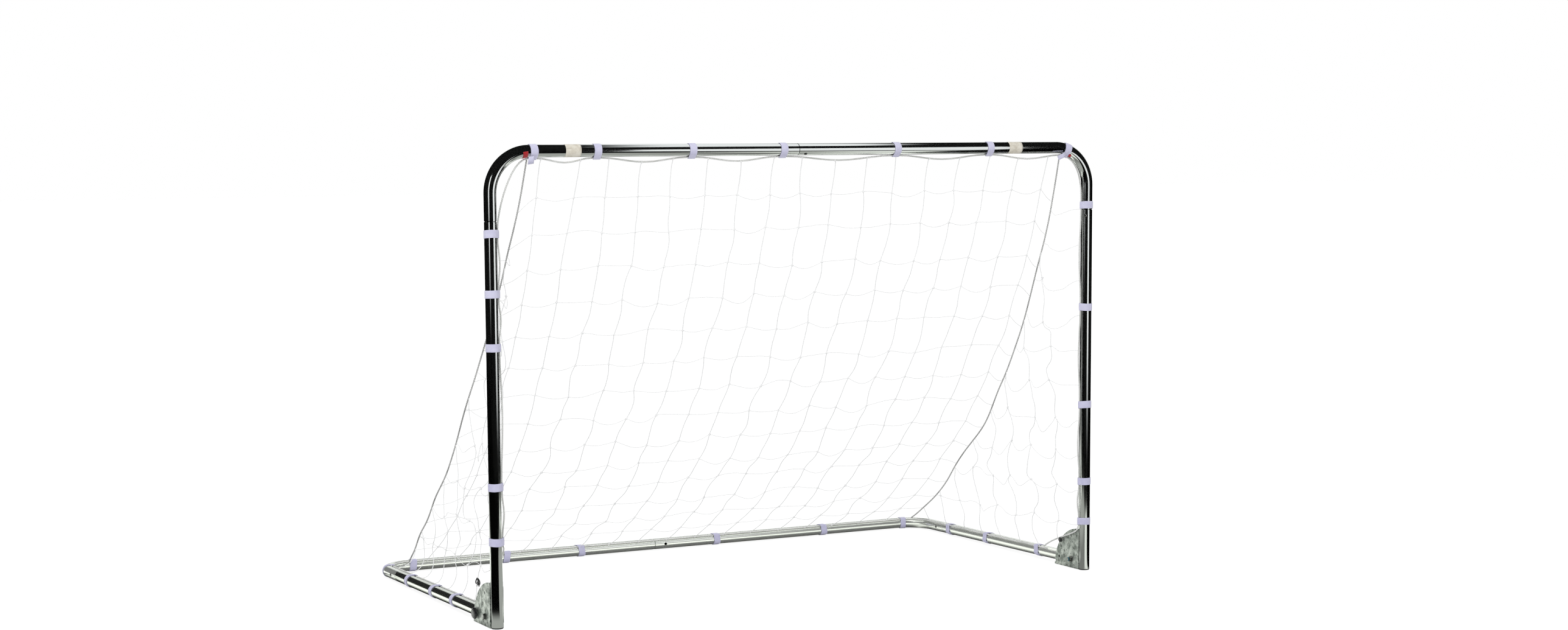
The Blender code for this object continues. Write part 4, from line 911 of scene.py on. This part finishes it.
level_route = rounded([Vector((x, y, rope_z)) for x, y in rope_corners], REAR_BEND - shift)
base_route = [on_base(place) for place in level_route]
front_rope = rope("front_border_rope_laid", front_route, border_cord)
seat(front_rope, None, "front_border_rope")
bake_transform(front_rope)
base_rope = rope("base_border_rope_laid", base_route, border_cord)
seat(base_rope, "base_frame", "base_border_rope")
print("border rope faces:", len(front_rope.data.polygons), len(base_rope.data.polygons))

# %% [markdown]
# The net hangs between two curved seams that run from the top corners to the rear corners. Its meshes
# are 100 mm squares, tied with a knot at each crossing. Drawing every strand as its own line over one
# curved surface keeps the crossings together, and a smooth noise pushes line and knot alike, so that
# the net looks slack and not ruled. A node tree gives the lines their thickness and sets the knots.

# %% The net's surface
SEAMS = {
    side: [Vector(place) for place in places]
    for side, places in {
        "left": ((-0.7967, -0.4512, 1.1799), (-0.8850, -0.2235, 0.395), (-0.8174, 0.4387, 0.0336)),
        "right": ((0.809, -0.4512, 1.1799), (0.8328, -0.2235, 0.395), (0.8569, 0.4274, 0.0366)),
    }.items()
}
BACK_COLUMNS, BACK_ROWS = 18, 15
MESH_SIZE = 0.100
FIRST_COLUMN, COLUMN_PITCH = -0.760, 0.0954
noise.seed_set(5)
front_runs = {"left": [*left_run, *turn_left], "right": [*right_run, *reversed(turn_right)]}
crossbar_rope = [*turn_left, *top_run, *turn_right]


def seam_point(side, share):
    """A place on a seam, from the top corner to the rear corner, with the rope's small waves."""
    top, pull, foot = SEAMS[side]
    wave = noise.noise_vector(Vector((share * 9.0, SIDES[side] * 3.0, 5.0)))
    wave = wave * 0.009 * max(0.0, math.sin(math.pi * share)) ** 0.5
    wave.x += 0.10 * min(0.0, SIDES[side]) * share ** 3 * (1 - share)
    return top * (1 - share) ** 2 + pull * 2 * share * (1 - share) + foot * share ** 2 + wave


def seam_at(side, height):
    """The place on a seam at a height."""
    low, high = 0.0, 1.0
    for _ in range(22):
        middle = (low + high) / 2
        if seam_point(side, middle).z > height:
            low = middle
        else:
            high = middle
    return seam_point(side, low)


def rope_under(x):
    """The height of the crossbar's rope at x."""
    for start, end in zip(crossbar_rope, crossbar_rope[1:]):
        if start.x <= x <= end.x:
            return start.z + (end.z - start.z) * (x - start.x) / max(1e-6, end.x - start.x)
    return crossbar_rope[0].z


def front_edge(side, height):
    """The place on an upright's rope at a height."""
    run = front_runs[side]
    for start, end in zip(run, run[1:]):
        if start.z <= height <= end.z:
            return start.lerp(end, (height - start.z) / max(1e-6, end.z - start.z))
    return run[0] if height < run[0].z else run[-1]


def panel_foot(side, y):
    """The place on the ropes along a side panel's lower edge."""
    for start, end in zip(front_runs[side], front_runs[side][1:]):
        if end.y <= y <= start.y and end.y < start.y:
            return start.lerp(end, (start.y - y) / (start.y - end.y))
    return on_base((SIDES[side] * rope_x, y, rope_z))


def even_share(walk, samples=300):
    """The share of a seam at an even distance along it."""
    places = [seam_point("left", step / samples) for step in range(samples + 1)]
    walked = [0.0]
    for start, end in zip(places, places[1:]):
        walked.append(walked[-1] + (end - start).length)
    wanted = walked[-1] * min(1.0, max(0.0, walk))
    for index in range(samples):
        if walked[index + 1] >= wanted:
            part = (wanted - walked[index]) / (walked[index + 1] - walked[index])
            return (index + part) / samples
    return 1.0


WALK_STEPS = 240
WALKS = [even_share(step / WALK_STEPS) for step in range(WALK_STEPS + 1)]


def walk_share(walk):
    """The same share, looked up between the kept ones."""
    position = min(1.0, max(0.0, walk)) * WALK_STEPS
    index = min(WALK_STEPS - 1, int(position))
    return WALKS[index] + (WALKS[index + 1] - WALKS[index]) * (position - index)


def drift(across, down, seed, size):
    """A smooth push that is the same for every strand through a place."""
    place = Vector((across * 3.1 + seed, down * 3.3 - seed, seed * 0.37))
    return noise.noise_vector(place) * size


COLUMN_TOPS = (
    -0.760, -0.652, -0.573, -0.481, -0.392, -0.291, -0.197, -0.096, -0.013,
    0.086, 0.184, 0.274, 0.379, 0.478, 0.577, 0.669, 0.767,
)


def across_at(column, down):
    """How far across the panel a column is. Its top is tied by hand, lower down it hangs even."""
    if column <= 0 or column >= BACK_COLUMNS:
        return 0.0 if column <= 0 else 1.0
    first = int(column)
    share = walk_share(down)
    left, right = seam_point("left", share).x, seam_point("right", share).x
    even = FIRST_COLUMN + COLUMN_PITCH * (column - 1)
    tied = COLUMN_TOPS[first - 1]
    if column > first and first < len(COLUMN_TOPS):
        tied += (COLUMN_TOPS[first] - tied) * (column - first)
    loose = max(0.0, 1 - down * BACK_ROWS / 2.2)
    x = even + (tied - even) * loose
    if column > BACK_COLUMNS - 1 or column < 1:
        edge = BACK_COLUMNS - 1 if column > 1 else 1
        inner = (FIRST_COLUMN + COLUMN_PITCH * (edge - 1) - left) / (right - left)
        end = 1.0 if column > 1 else 0.0
        return inner + (end - inner) * abs(column - edge)
    return (x - left) / (right - left)


def back_place(column, down):
    """A place on the back panel. Down 0 is under the crossbar and 1 at the rear bar."""
    across = across_at(column, down)
    share = walk_share(down)
    place = seam_point("left", share).lerp(seam_point("right", share), across)
    place.y -= 0.018 * math.sin(math.pi * across) * math.sin(math.pi * down)
    loose = min(1.0, 6 * across, 6 * (1 - across)) * min(1.0, 7 * down, 7 * (1 - down))
    push = drift(across * 5, down * 4.6, 11.0, 0.016)
    place += Vector((push.x * 0.75, push.y * 0.5, push.z * 0.9)) * max(0.0, loose)
    row = down * BACK_ROWS
    place = place.lerp(Vector((place.x, FRONT_Y, rope_under(place.x) - 0.001)), max(0.0, 1 - row) ** 2)
    return place.lerp(on_base((place.x, rope_y, rope_z)), max(0.0, row - BACK_ROWS + 1) ** 2)


def side_place(side, y, height):
    """A place on a side panel, between the upright's rope and the seam at that height."""
    sign = SIDES[side]
    edge, seam = front_edge(side, height), seam_at(side, height)
    share = min(1.0, max(0.0, (y - edge.y) / max(0.02, seam.y - edge.y)))
    place = edge.lerp(seam, share)
    lift = min(1.0, max(0.0, (height - 0.05) / 0.5))
    place.x -= sign * 0.022 * math.sin(math.pi * share) * lift
    loose = min(1.0, 4 * share, 4 * (1 - share)) * min(1.0, max(0.0, (height - 0.045) / 0.12))
    push = drift(y * 4.3, height * 4.3, 23.0 + sign, 0.040)
    return place + Vector((push.x * 0.45, push.y, push.z * 0.9)) * loose


print("back panel meshes:", BACK_COLUMNS, "by", BACK_ROWS)

# %% Net tree
net_tree, given, result = geometry_tree(
    "knotted_net",
    [("Thickness", "Float", 0.002), ("Knot", "Float", 0.0026), ("Sides", "Int", 5), ("Seed", "Int", 4)],
)
lines = add_node(net_tree, "GeometryNodeMeshToCurve", {"Mesh": given.outputs["Geometry"]})
distance = add_node(net_tree, "GeometryNodeSplineParameter").outputs["Length"]
rail, along = capture(net_tree, lines.outputs["Curve"], "FLOAT", distance)
circle, position = ring(net_tree, given.outputs["Sides"], product(net_tree, given.outputs["Thickness"], 0.5))
profile, around = capture(net_tree, circle, "VECTOR", position)
girth = add_node(net_tree, "GeometryNodeInputNamedAttribute", {"Name": "girth"}, data_type="FLOAT")
values = {"Curve": rail, "Radius": girth.outputs["Attribute"]}
strands = sweep(net_tree, add_node(net_tree, "GeometryNodeSetCurveRadius", values).outputs[0], profile, True)
is_knot = add_node(net_tree, "GeometryNodeInputNamedAttribute", {"Name": "knot"}, data_type="BOOLEAN")
values = {"Mesh": given.outputs["Geometry"], "Selection": is_knot.outputs["Attribute"]}
spots = add_node(net_tree, "GeometryNodeMeshToPoints", values)
values = {"Segments": 7, "Rings": 5, "Radius": given.outputs["Knot"]}
ball = add_node(net_tree, "GeometryNodeMeshUVSphere", values)
values = {"Geometry": ball.outputs["Mesh"], "Scale": (1.0, 0.72, 1.35)}
lump = add_node(net_tree, "GeometryNodeTransform", values)
values = {"Seed": given.outputs["Seed"]}
spin = add_node(net_tree, "FunctionNodeRandomValue", values, data_type="FLOAT_VECTOR")
spin.inputs["Max"].default_value = (6.28, 6.28, 6.28)
values = {"Points": spots.outputs["Points"], "Instance": lump.outputs[0], "Rotation": spin.outputs["Value"]}
knots = add_node(net_tree, "GeometryNodeInstanceOnPoints", values)
joined = add_node(net_tree, "GeometryNodeJoinGeometry", {0: knots.outputs[0]})
fill(net_tree, joined, {0: strands})
finish_tree(net_tree, joined.outputs[0], given, result, "rope_space", along, around)
LEVEL_GIRTH = 0.66


def net_piece(name, lines, knots, level):
    """Strand lines and knot places as one plain mesh. The level strands are pulled thinner."""
    verts, edges, girths = [], [], []
    for number, line in enumerate(lines):
        first = len(verts)
        verts += line
        girths += [LEVEL_GIRTH if number in level else 1.0] * len(line)
        edges += [(first + index, first + index + 1) for index in range(len(line) - 1)]
    flags = [False] * len(verts) + [True] * len(knots)
    mesh = bpy.data.meshes.new(name)
    mesh.from_pydata(verts + knots, edges, [])
    mesh.attributes.new("knot", "BOOLEAN", "POINT").data.foreach_set("value", flags)
    mesh.attributes.new("girth", "FLOAT", "POINT").data.foreach_set("value", girths + [1.0] * len(knots))
    item = add_mesh_object(name + "_lines", mesh)
    grown(item, net_tree, Thickness=0.002, Knot=0.0029, Sides=5, Seed=4, Material=net_twine)
    return made_mesh(item, name)


print("net tree nodes:", len(net_tree.nodes))

# %% Strands of the back panel
STRAND_STEPS = 9
random.seed(7)
slack = {}


def sagging(share):
    """0 at each knot and 1 halfway between two knots."""
    return math.sin(math.pi * (share - math.floor(share)))


lines, knots = [], []
for column in range(1, BACK_COLUMNS):
    line = []
    for step in range(BACK_ROWS * STRAND_STEPS + 1):
        row = step / STRAND_STEPS
        cell = min(BACK_ROWS - 1, int(row))
        bow = slack.setdefault(("down", column, cell), random.uniform(-0.005, 0.005))
        line.append(back_place(column, row / BACK_ROWS) + X_AXIS * bow * sagging(row))
    lines.append(line)
for row in range(1, BACK_ROWS):
    line = []
    for step in range(BACK_COLUMNS * STRAND_STEPS + 1):
        column = step / STRAND_STEPS
        cell = min(BACK_COLUMNS - 1, int(column))
        hang = slack.setdefault(("across", row, cell), random.uniform(-0.003, 0.014))
        outer = max(0.0, 1 - column, column - BACK_COLUMNS + 1)
        slip = 0.42 * outer ** 1.3 * min(1.0, (BACK_ROWS - row) / 5)
        line.append(back_place(column, (row + slip) / BACK_ROWS) - Z_AXIS * hang * sagging(column))
    lines.append(line)
    knots += [back_place(column, row / BACK_ROWS) for column in range(1, BACK_COLUMNS)]
knots += [back_place(column, end) for column in range(1, BACK_COLUMNS) for end in (0.0, 1.0)]
net_back = net_piece("net_back_panel", lines, knots, range(BACK_COLUMNS - 1, len(lines)))
print("back panel strands:", len(lines), "knots:", len(knots), "faces:", len(net_back.data.polygons))

# %% Strands of the side panels
SIDE_ROWS, SIDE_COLUMNS, LOWEST_ROW = {"left": 9, "right": 10}, range(1, 9), 0.13
SIDE_STEP = 0.010


def side_lines(side):
    """Level strands from the upright's rope to the seam, and strands that hang from the seam."""
    lines, knots = [], []
    heights = [LOWEST_ROW + MESH_SIZE * number for number in range(SIDE_ROWS[side])]
    for number, height in enumerate(heights):
        edge, seam = front_edge(side, height), seam_at(side, height)
        steps = max(4, int((seam.y - edge.y) / SIDE_STEP))
        line = [edge]
        for step in range(1, steps):
            y = edge.y + (seam.y - edge.y) * step / steps
            cell = (y - FRONT_Y) / MESH_SIZE
            hang = slack.setdefault((side, number, int(cell)), random.uniform(0.006, 0.032))
            hang *= min(1.0, height / 0.4)
            calm = min(1.0, step / 3, (steps - step) / 3)
            line.append(side_place(side, y, height) - Z_AXIS * hang * sagging(cell) * calm)
        lines.append(line + [seam])
        for y in (FRONT_Y + MESH_SIZE * column for column in SIDE_COLUMNS):
            if edge.y + 0.012 < y < seam.y - 0.012:
                knots.append(side_place(side, y, height))
    on_seam = [seam_at(side, height / 200) for height in range(8, 236)]
    for column in SIDE_COLUMNS:
        y = FRONT_Y + MESH_SIZE * column
        foot = panel_foot(side, y)
        top = max((place for place in on_seam if place.y >= y), key=lambda place: place.z)
        steps = max(4, int((top.z - foot.z) / SIDE_STEP))
        line = [foot]
        for step in range(1, steps):
            height = foot.z + (top.z - foot.z) * step / steps
            cell = (height - heights[0]) / MESH_SIZE
            bow = slack.setdefault((side, "up", column, math.floor(cell)), random.uniform(-0.026, 0.026))
            calm = min(1.0, step / 4, (steps - step) / 4)
            place = side_place(side, y, height) + Y_AXIS * bow * sagging(cell) * calm
            place = place.lerp(foot, max(0.0, 1 - (height - foot.z) / 0.05) ** 2)
            line.append(place.lerp(top, max(0.0, 1 - (top.z - height) / 0.03) ** 2))
        lines.append(line + [top])
    return lines, knots


net_sides = {}
for side in SIDES:
    lines, knots = side_lines(side)
    net_sides[side] = net_piece(f"net_side_panel_{side}", lines, knots, range(SIDE_ROWS[side]))
    panel_faces = len(net_sides[side].data.polygons)
    print(side, "panel strands:", len(lines), "knots:", len(knots), "faces:", panel_faces)

# %% Seam ropes
seam_ropes = {}
for side in SIDES:
    top = seam_point(side, 0.0)
    route = [Vector((top.x, FRONT_Y + ROPE_RADIUS * 2 + FIT_GAP, CROSSBAR_Z - ROPE_OFFSET))]
    route += [seam_point(side, step / 80) for step in range(81)]
    seam_ropes[side] = rope(f"seam_rope_{side}", route, seam_cord, radius=0.0024, lay=0.018, hollow=0.30)
for piece in (net_back, *seam_ropes.values()):
    seat(piece, None, "net")
    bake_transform(piece)
for piece in net_sides.values():
    seat(piece, "front_frame", "net")
    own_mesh(piece)
print("seam rope faces:", [len(piece.data.polygons) for piece in seam_ropes.values()])

# %% [markdown]
# Thirty straps of hook-and-loop tape tie the rope to the tubes. A strap is a flat band, so its path is
# drawn once round the tube and the rope, with the end lapped over the start, and it is then given its
# width in a few rows. The rows are pushed a little along the tube, because no strap sits quite square.

# %% Bands of tape and paper
def band(name, grid, coords=None, middle=None, way=None):
    """A mesh from rows of places. It is turned to face away from an axis, where one is given."""
    bm = bmesh.new()
    layer = bm.verts.layers.float_vector.new("tape_space") if coords else None
    rows = []
    for number, places in enumerate(grid):
        rows.append([bm.verts.new(place) for place in places])
        for vert, value in zip(rows[-1], coords[number] if coords else ()):
            vert[layer] = value
    for first, second in zip(rows, rows[1:]):
        for index in range(len(first) - 1):
            bm.faces.new((first[index], second[index], second[index + 1], first[index + 1]))
    if middle is not None:
        bmesh.ops.recalc_face_normals(bm, faces=bm.faces)
        bm.normal_update()
        outward = 0.0
        for face in bm.faces:
            radial = face.calc_center_median() - middle
            radial -= way * radial.dot(way)
            outward += radial.dot(face.normal)
        if outward < 0:
            bmesh.ops.reverse_faces(bm, faces=bm.faces)
    mesh = bpy.data.meshes.new(name)
    bm.to_mesh(mesh)
    bm.free()
    return mesh


def thickened(name, mesh, finish, thickness, offset, soft_edge=0.0):
    """A band with its thickness, smooth, as a plain mesh object."""
    item = add_mesh_object(name, mesh, finish)
    sheet = item.modifiers.new("sheet", "SOLIDIFY")
    sheet.thickness, sheet.offset, sheet.use_even_offset = thickness, offset, soft_edge > 0
    if soft_edge:
        soft = item.modifiers.new("soft_edge", "BEVEL")
        soft.width, soft.segments = soft_edge, 2
        soft.limit_method, soft.angle_limit = "ANGLE", math.radians(50)
    item = made_mesh(item, name)
    item.data.shade_smooth()
    return item

# %% Straps
STRAP_THICKNESS, STRAP_LIFT, STRAP_ROWS = 0.0013, 0.00035, 6
SPREAD = math.acos((TUBE_RADIUS - ROPE_RADIUS) / ROPE_OFFSET)


def strap_path(lap_start, lap_length):
    """(angle, reach, offset) stops round the tube and the rope, and over the lap."""
    big_steps, small_steps = 30, 6
    inner, small = TUBE_RADIUS + STRAP_LIFT, ROPE_RADIUS + STRAP_LIFT
    big = (2 * math.pi - 2 * SPREAD) / big_steps
    first = int(lap_start * big_steps)
    stops = [(SPREAD + big * step, inner, 0.0) for step in range(first, big_steps + 1)]
    stops += [
        (-SPREAD + 2 * SPREAD * step / small_steps, small, ROPE_OFFSET) for step in range(1, small_steps)
    ]
    stops += [(SPREAD + big * step, inner, 0.0) for step in range(first - 2)]
    for step in range(int(lap_length * big_steps) + 1):
        climb = (STRAP_THICKNESS + STRAP_LIFT) * min(1.0, (step + 1) / 2)
        stops.append((SPREAD + big * (first - 2 + step), inner + climb, 0.0))
    return stops


straps = []


def strap(name, centre, way, rope_way, lap_way, body, tilt, lap=(0.25, 0.16), bend=None):
    """A band of tape that stands for one strap node."""
    seed = len(straps)
    grid, coords = [], []
    travel, previous = 0.0, None
    for angle, reach, offset in strap_path(*lap):
        rim = rope_way * (offset + reach * math.cos(angle)) + lap_way * (reach * math.sin(angle))
        if previous is not None:
            travel += (rim - previous).length
        previous = rim
        grid.append([])
        coords.append([])
        for row in range(STRAP_ROWS + 1):
            across = (row / STRAP_ROWS - 0.5) * STRAP_WIDTH
            edge = abs(row / STRAP_ROWS - 0.5) * 2
            wave = noise.noise(Vector((travel * 40, across * 30, seed * 1.7))) * 0.0007
            slide = across + tilt * rim.dot(lap_way) + wave
            lift = rim.normalized() * (0.00022 * (1 - edge ** 4))
            if bend is None:
                place = centre + rim + lift + way * slide
            else:
                pivot, axis, radius = bend
                place = pivot + Matrix.Rotation(slide / radius, 3, axis) @ (centre + rim + lift - pivot)
            grid[-1].append(place)
            coords[-1].append((travel, across, seed))
    mesh = band("tape_" + name, grid, coords, centre, way)
    item = thickened("tape_" + name, mesh, strap_tape, STRAP_THICKNESS - 0.0003, 1, soft_edge=0.0004)
    straps.append(seat(item, body, "strap_" + name))


def front_strap(name, place, way, rope_way, tilt, bend=None):
    """A strap of the front frame, with its lap towards the rear."""
    strap(name, place, way, rope_way, Y_AXIS, "front_frame", tilt, bend=bend)


def base_strap(name, place, way, inwards, bend=None):
    """A strap of the base frame, sloping as it lies, with its rope on the inner upper side."""
    slope = Matrix.Rotation(-BASE_SLOPE, 3, "X")
    ways = slope @ way, slope @ (inwards + Z_AXIS).normalized(), slope @ (inwards - Z_AXIS).normalized()
    strap(name, on_base(place), *ways, "base_frame", random.uniform(-0.22, 0.22), lap=(0.12, 0.14), bend=bend)


def on_rear_bend(sign, angle):
    """A place on a rear bend, the tube's way there, the way inwards, and the bend itself."""
    centre = Vector((sign * (UPRIGHT_X - REAR_BEND), REAR_Y - REAR_BEND, PIVOT_Z))
    outwards = Vector((sign * math.sin(angle), math.cos(angle), 0.0))
    way = Vector((math.cos(angle), -sign * math.sin(angle), 0.0))
    axis = Matrix.Rotation(-BASE_SLOPE, 3, "X") @ Z_AXIS * -sign
    return centre + outwards * REAR_BEND, way, -outwards, (on_base(centre), axis, REAR_BEND)


random.seed(21)
for number, x in enumerate(CROSSBAR_STRAPS, 1):
    centre = Vector((x, FRONT_Y, CROSSBAR_Z))
    front_strap(f"crossbar_{number}", centre, X_AXIS, -Z_AXIS, random.uniform(-0.10, 0.10))
front_strap("crossbar_7", *on_top_bend(TOP_BEND_STRAP), 0.12, bend=(TOP_BEND_CENTRE, Y_AXIS, TOP_BEND))
for side, sign in SIDES.items():
    for number, height in enumerate(UPRIGHT_STRAPS[side], 1):
        centre = at_side(side, FRONT_Y, height)
        front_strap(f"upright_{side}_{number}", centre, Z_AXIS, X_AXIS * -sign, random.uniform(-0.12, 0.12))
for number, x in enumerate(REAR_STRAPS, 1):
    base_strap(f"rear_{number}", Vector((x, REAR_Y, PIVOT_Z)), X_AXIS, -Y_AXIS)
base_strap("rear_6", *on_rear_bend(1, REAR_BEND_STRAP))
for side, sign in SIDES.items():
    for number, depth in enumerate(SIDE_STRAPS[side], 1):
        base_strap(f"side_{side}_{number}", at_side(side, FRONT_Y + depth, PIVOT_Z), Y_AXIS, X_AXIS * -sign)
base_strap("side_left_4", *on_rear_bend(-1, SIDE_BEND_STRAP))
print("straps:", len(straps), "faces:", sum(len(item.data.polygons) for item in straps))

# %% [markdown]
# Small things finish the goal: the two paper wraps on the crossbar, kept blank, the red tabs and loose
# strap ends at its top corners, the dark cord bows low on the net and the blue rings of the lock nuts.

# %% Paper wraps
def paper_wrap(name, x, width=0.0425):
    """A strip of paper once round the crossbar, with its end lapped over its start."""
    columns, rows = 48, 8
    grid = []
    for column in range(columns + 4):
        angle = math.pi * 0.75 + 2 * math.pi * column / columns
        grid.append([])
        for row in range(rows + 1):
            across = (row / rows - 0.5) * width
            lift = 0.00012 + 0.00016 * max(0, column - columns + 1) / 4
            lift += 0.00008 * (1 + noise.noise(Vector((angle * 2.3, across * 90, x))))
            reach = TUBE_RADIUS + lift
            skew = 0.02 * reach * math.sin(angle)
            y, z = FRONT_Y + reach * math.cos(angle), CROSSBAR_Z + reach * math.sin(angle)
            grid[-1].append((x + across + skew, y, z))
    mesh = band(name, grid, None, Vector((x, FRONT_Y, CROSSBAR_Z)), X_AXIS)
    return seat(thickened(name, mesh, label_paper, 0.00012, 1), "front_frame")


wraps = [paper_wrap("paper_wrap_left", -0.6765), paper_wrap("paper_wrap_right", 0.651)]
print("wraps:", len(wraps))

# %% Red corner tabs and loose strap ends
def folded_tab(name, points, width, way, finish):
    """A short flat piece of tape along the points."""
    points = [Vector(place) for place in points]
    grid, coords, travel = [], [], 0.0
    for index, point in enumerate(points):
        if index:
            travel += (point - points[index - 1]).length
        stops = [(row / 4 - 0.5) * width for row in range(5)]
        grid.append([point + way * across for across in stops])
        coords.append([(travel, across, 0.0) for across in stops])
    item = thickened(name, band(name, grid, coords), finish, 0.0008, 0)
    return seat(item, "front_frame")


def round_tube(centre, outwards, first, last, lift, steps=8):
    """Points round the front of the crossbar or its bend, from first to last degrees below the level."""
    points = []
    for step in range(steps + 1):
        angle = math.radians(first + (last - first) * step / steps)
        radial = -Y_AXIS * math.cos(angle) - outwards * math.sin(angle)
        points.append(centre + radial * (TUBE_RADIUS + lift))
    return points


left_turn = math.radians(7.5)
outwards = Vector((-math.sin(left_turn), 0.0, math.cos(left_turn)))
left_centre = Vector((TOP_BEND - UPRIGHT_X, FRONT_Y, CROSSBAR_Z - TOP_BEND)) + outwards * TOP_BEND
left_way = Vector((math.cos(left_turn), 0.0, math.sin(left_turn)))
bend_centre, bend_way, bend_inwards = on_top_bend(TOP_BEND_STRAP)
right_points = [
    bend_centre + bend_inwards * inner - Y_AXIS * front + bend_way * 0.0095
    for inner, front in ((0.0125, 0.0140), (0.0155, 0.0120), (0.0185, 0.0092))
]
left_end = ((-0.792, -0.4755, 1.190), (-0.794, -0.4765, 1.183), (-0.7955, -0.4760, 1.1705))
right_end = ((0.8130, -0.4745, 1.1850), (0.8020, -0.4760, 1.1790), (0.7880, -0.4750, 1.1735))
corner_tape = [
    folded_tab("red_tab_left", round_tube(left_centre, outwards, 2, 105, 0.0008), 0.013, left_way, red_tape),
    folded_tab("red_tab_right", right_points, 0.008, bend_way, red_tape),
    folded_tab("strap_end_left", left_end, 0.017, Vector((0.97, 0.1, 0.12)), strap_tape),
    folded_tab("strap_end_right", right_end, 0.012, Vector((0.45, 0.0, -0.89)), strap_tape),
]
print("tabs and strap ends:", len(corner_tape))

# %% Cord bows and lock nut rings
def cord_bow(name, centre, size):
    """A thin dark cord tied in a bow, with two loose ends."""
    points = []
    for step in range(49):
        angle = 2 * math.pi * step / 48
        rise = 0.009 * math.sin(2 * angle + 0.4)
        loop = Vector((0.002 * math.sin(3 * angle), 0.011 * math.sin(angle), rise))
        points.append(centre + loop * size)
    first, last = (centre + Vector(end) * size for end in ((0.001, -0.007, -0.014), (-0.001, 0.006, -0.015)))
    points = [first, *points[2:-2], last]
    item = rope(name, points, dark_cord, radius=0.0018, lay=0.008, step=0.001, sides=8, hollow=0.12)
    return seat(item, None)


# The left bow is tied to a strand of the side panel, the right one to the border rope.
left_bow = cord_bow("cord_bow_left", Vector((-0.8688, -0.2461, 0.0856)), 0.9)
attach(left_bow, "front_frame")
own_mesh(left_bow)
right_bow = cord_bow("cord_bow_right", Vector((0.8738, -0.375, 0.0772)), 0.5)
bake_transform(right_bow)

PLATE_OFFSET, PLATE_THICKNESS, WASHER, NUT_HEIGHT, NUT_COLLAR = 0.0163, 0.002, 0.0016, 0.0062, 0.0018
NUT_END = PLATE_OFFSET + PLATE_THICKNESS + FIT_GAP + WASHER + NUT_HEIGHT + NUT_COLLAR
RING_PROFILE = (
    (0.0041, 0.0), (0.0041, 0.0005), (0.0046, 0.0007), (0.0051, 0.0006), (0.0054, 0.0002), (0.0054, 0.0),
)
RING_STEPS = 24


def nut_ring(side, sign):
    """The nylon ring in the end of a lock nut."""
    bm = bmesh.new()
    turns = [2 * math.pi * step / RING_STEPS for step in range(RING_STEPS)]
    rings = []
    for reach, depth in RING_PROFILE:
        x = sign * UPRIGHT_X - sign * (NUT_END + depth)
        places = [
            (x, PIVOT_Y + reach * math.cos(angle), PIVOT_Z + reach * math.sin(angle)) for angle in turns
        ]
        rings.append([bm.verts.new(place) for place in places])
    for first, second in zip(rings, rings[1:] + rings[:1]):
        for step in range(RING_STEPS):
            after = (step + 1) % RING_STEPS
            bm.faces.new((first[step], first[after], second[after], second[step]))
    bmesh.ops.recalc_face_normals(bm, faces=bm.faces)
    mesh = bpy.data.meshes.new(f"lock_nut_ring_{side}")
    bm.to_mesh(mesh)
    bm.free()
    item = add_mesh_object(mesh.name, mesh, nylon_insert)
    item.data.shade_smooth()
    return seat(item, "front_frame")


nut_rings = [nut_ring(side, sign) for side, sign in SIDES.items()]
print("bow faces:", [len(bow.data.polygons) for bow in (left_bow, right_bow)], "nut rings:", len(nut_rings))

# %% [markdown]
# Last comes a count of faces, for the largest pieces and for the whole goal. The dressed goal has
# to stay in the box of the measured frame, but for the little that rope and tape may stand proud.

# %% Count the faces
bpy.context.view_layer.update()
faces = {item.name: len(item.data.polygons) for item in bpy.context.scene.objects if item.type == "MESH"}
print("largest pieces:", sorted(faces.items(), key=lambda pair: -pair[1])[:6], "all:", sum(faces.values()))
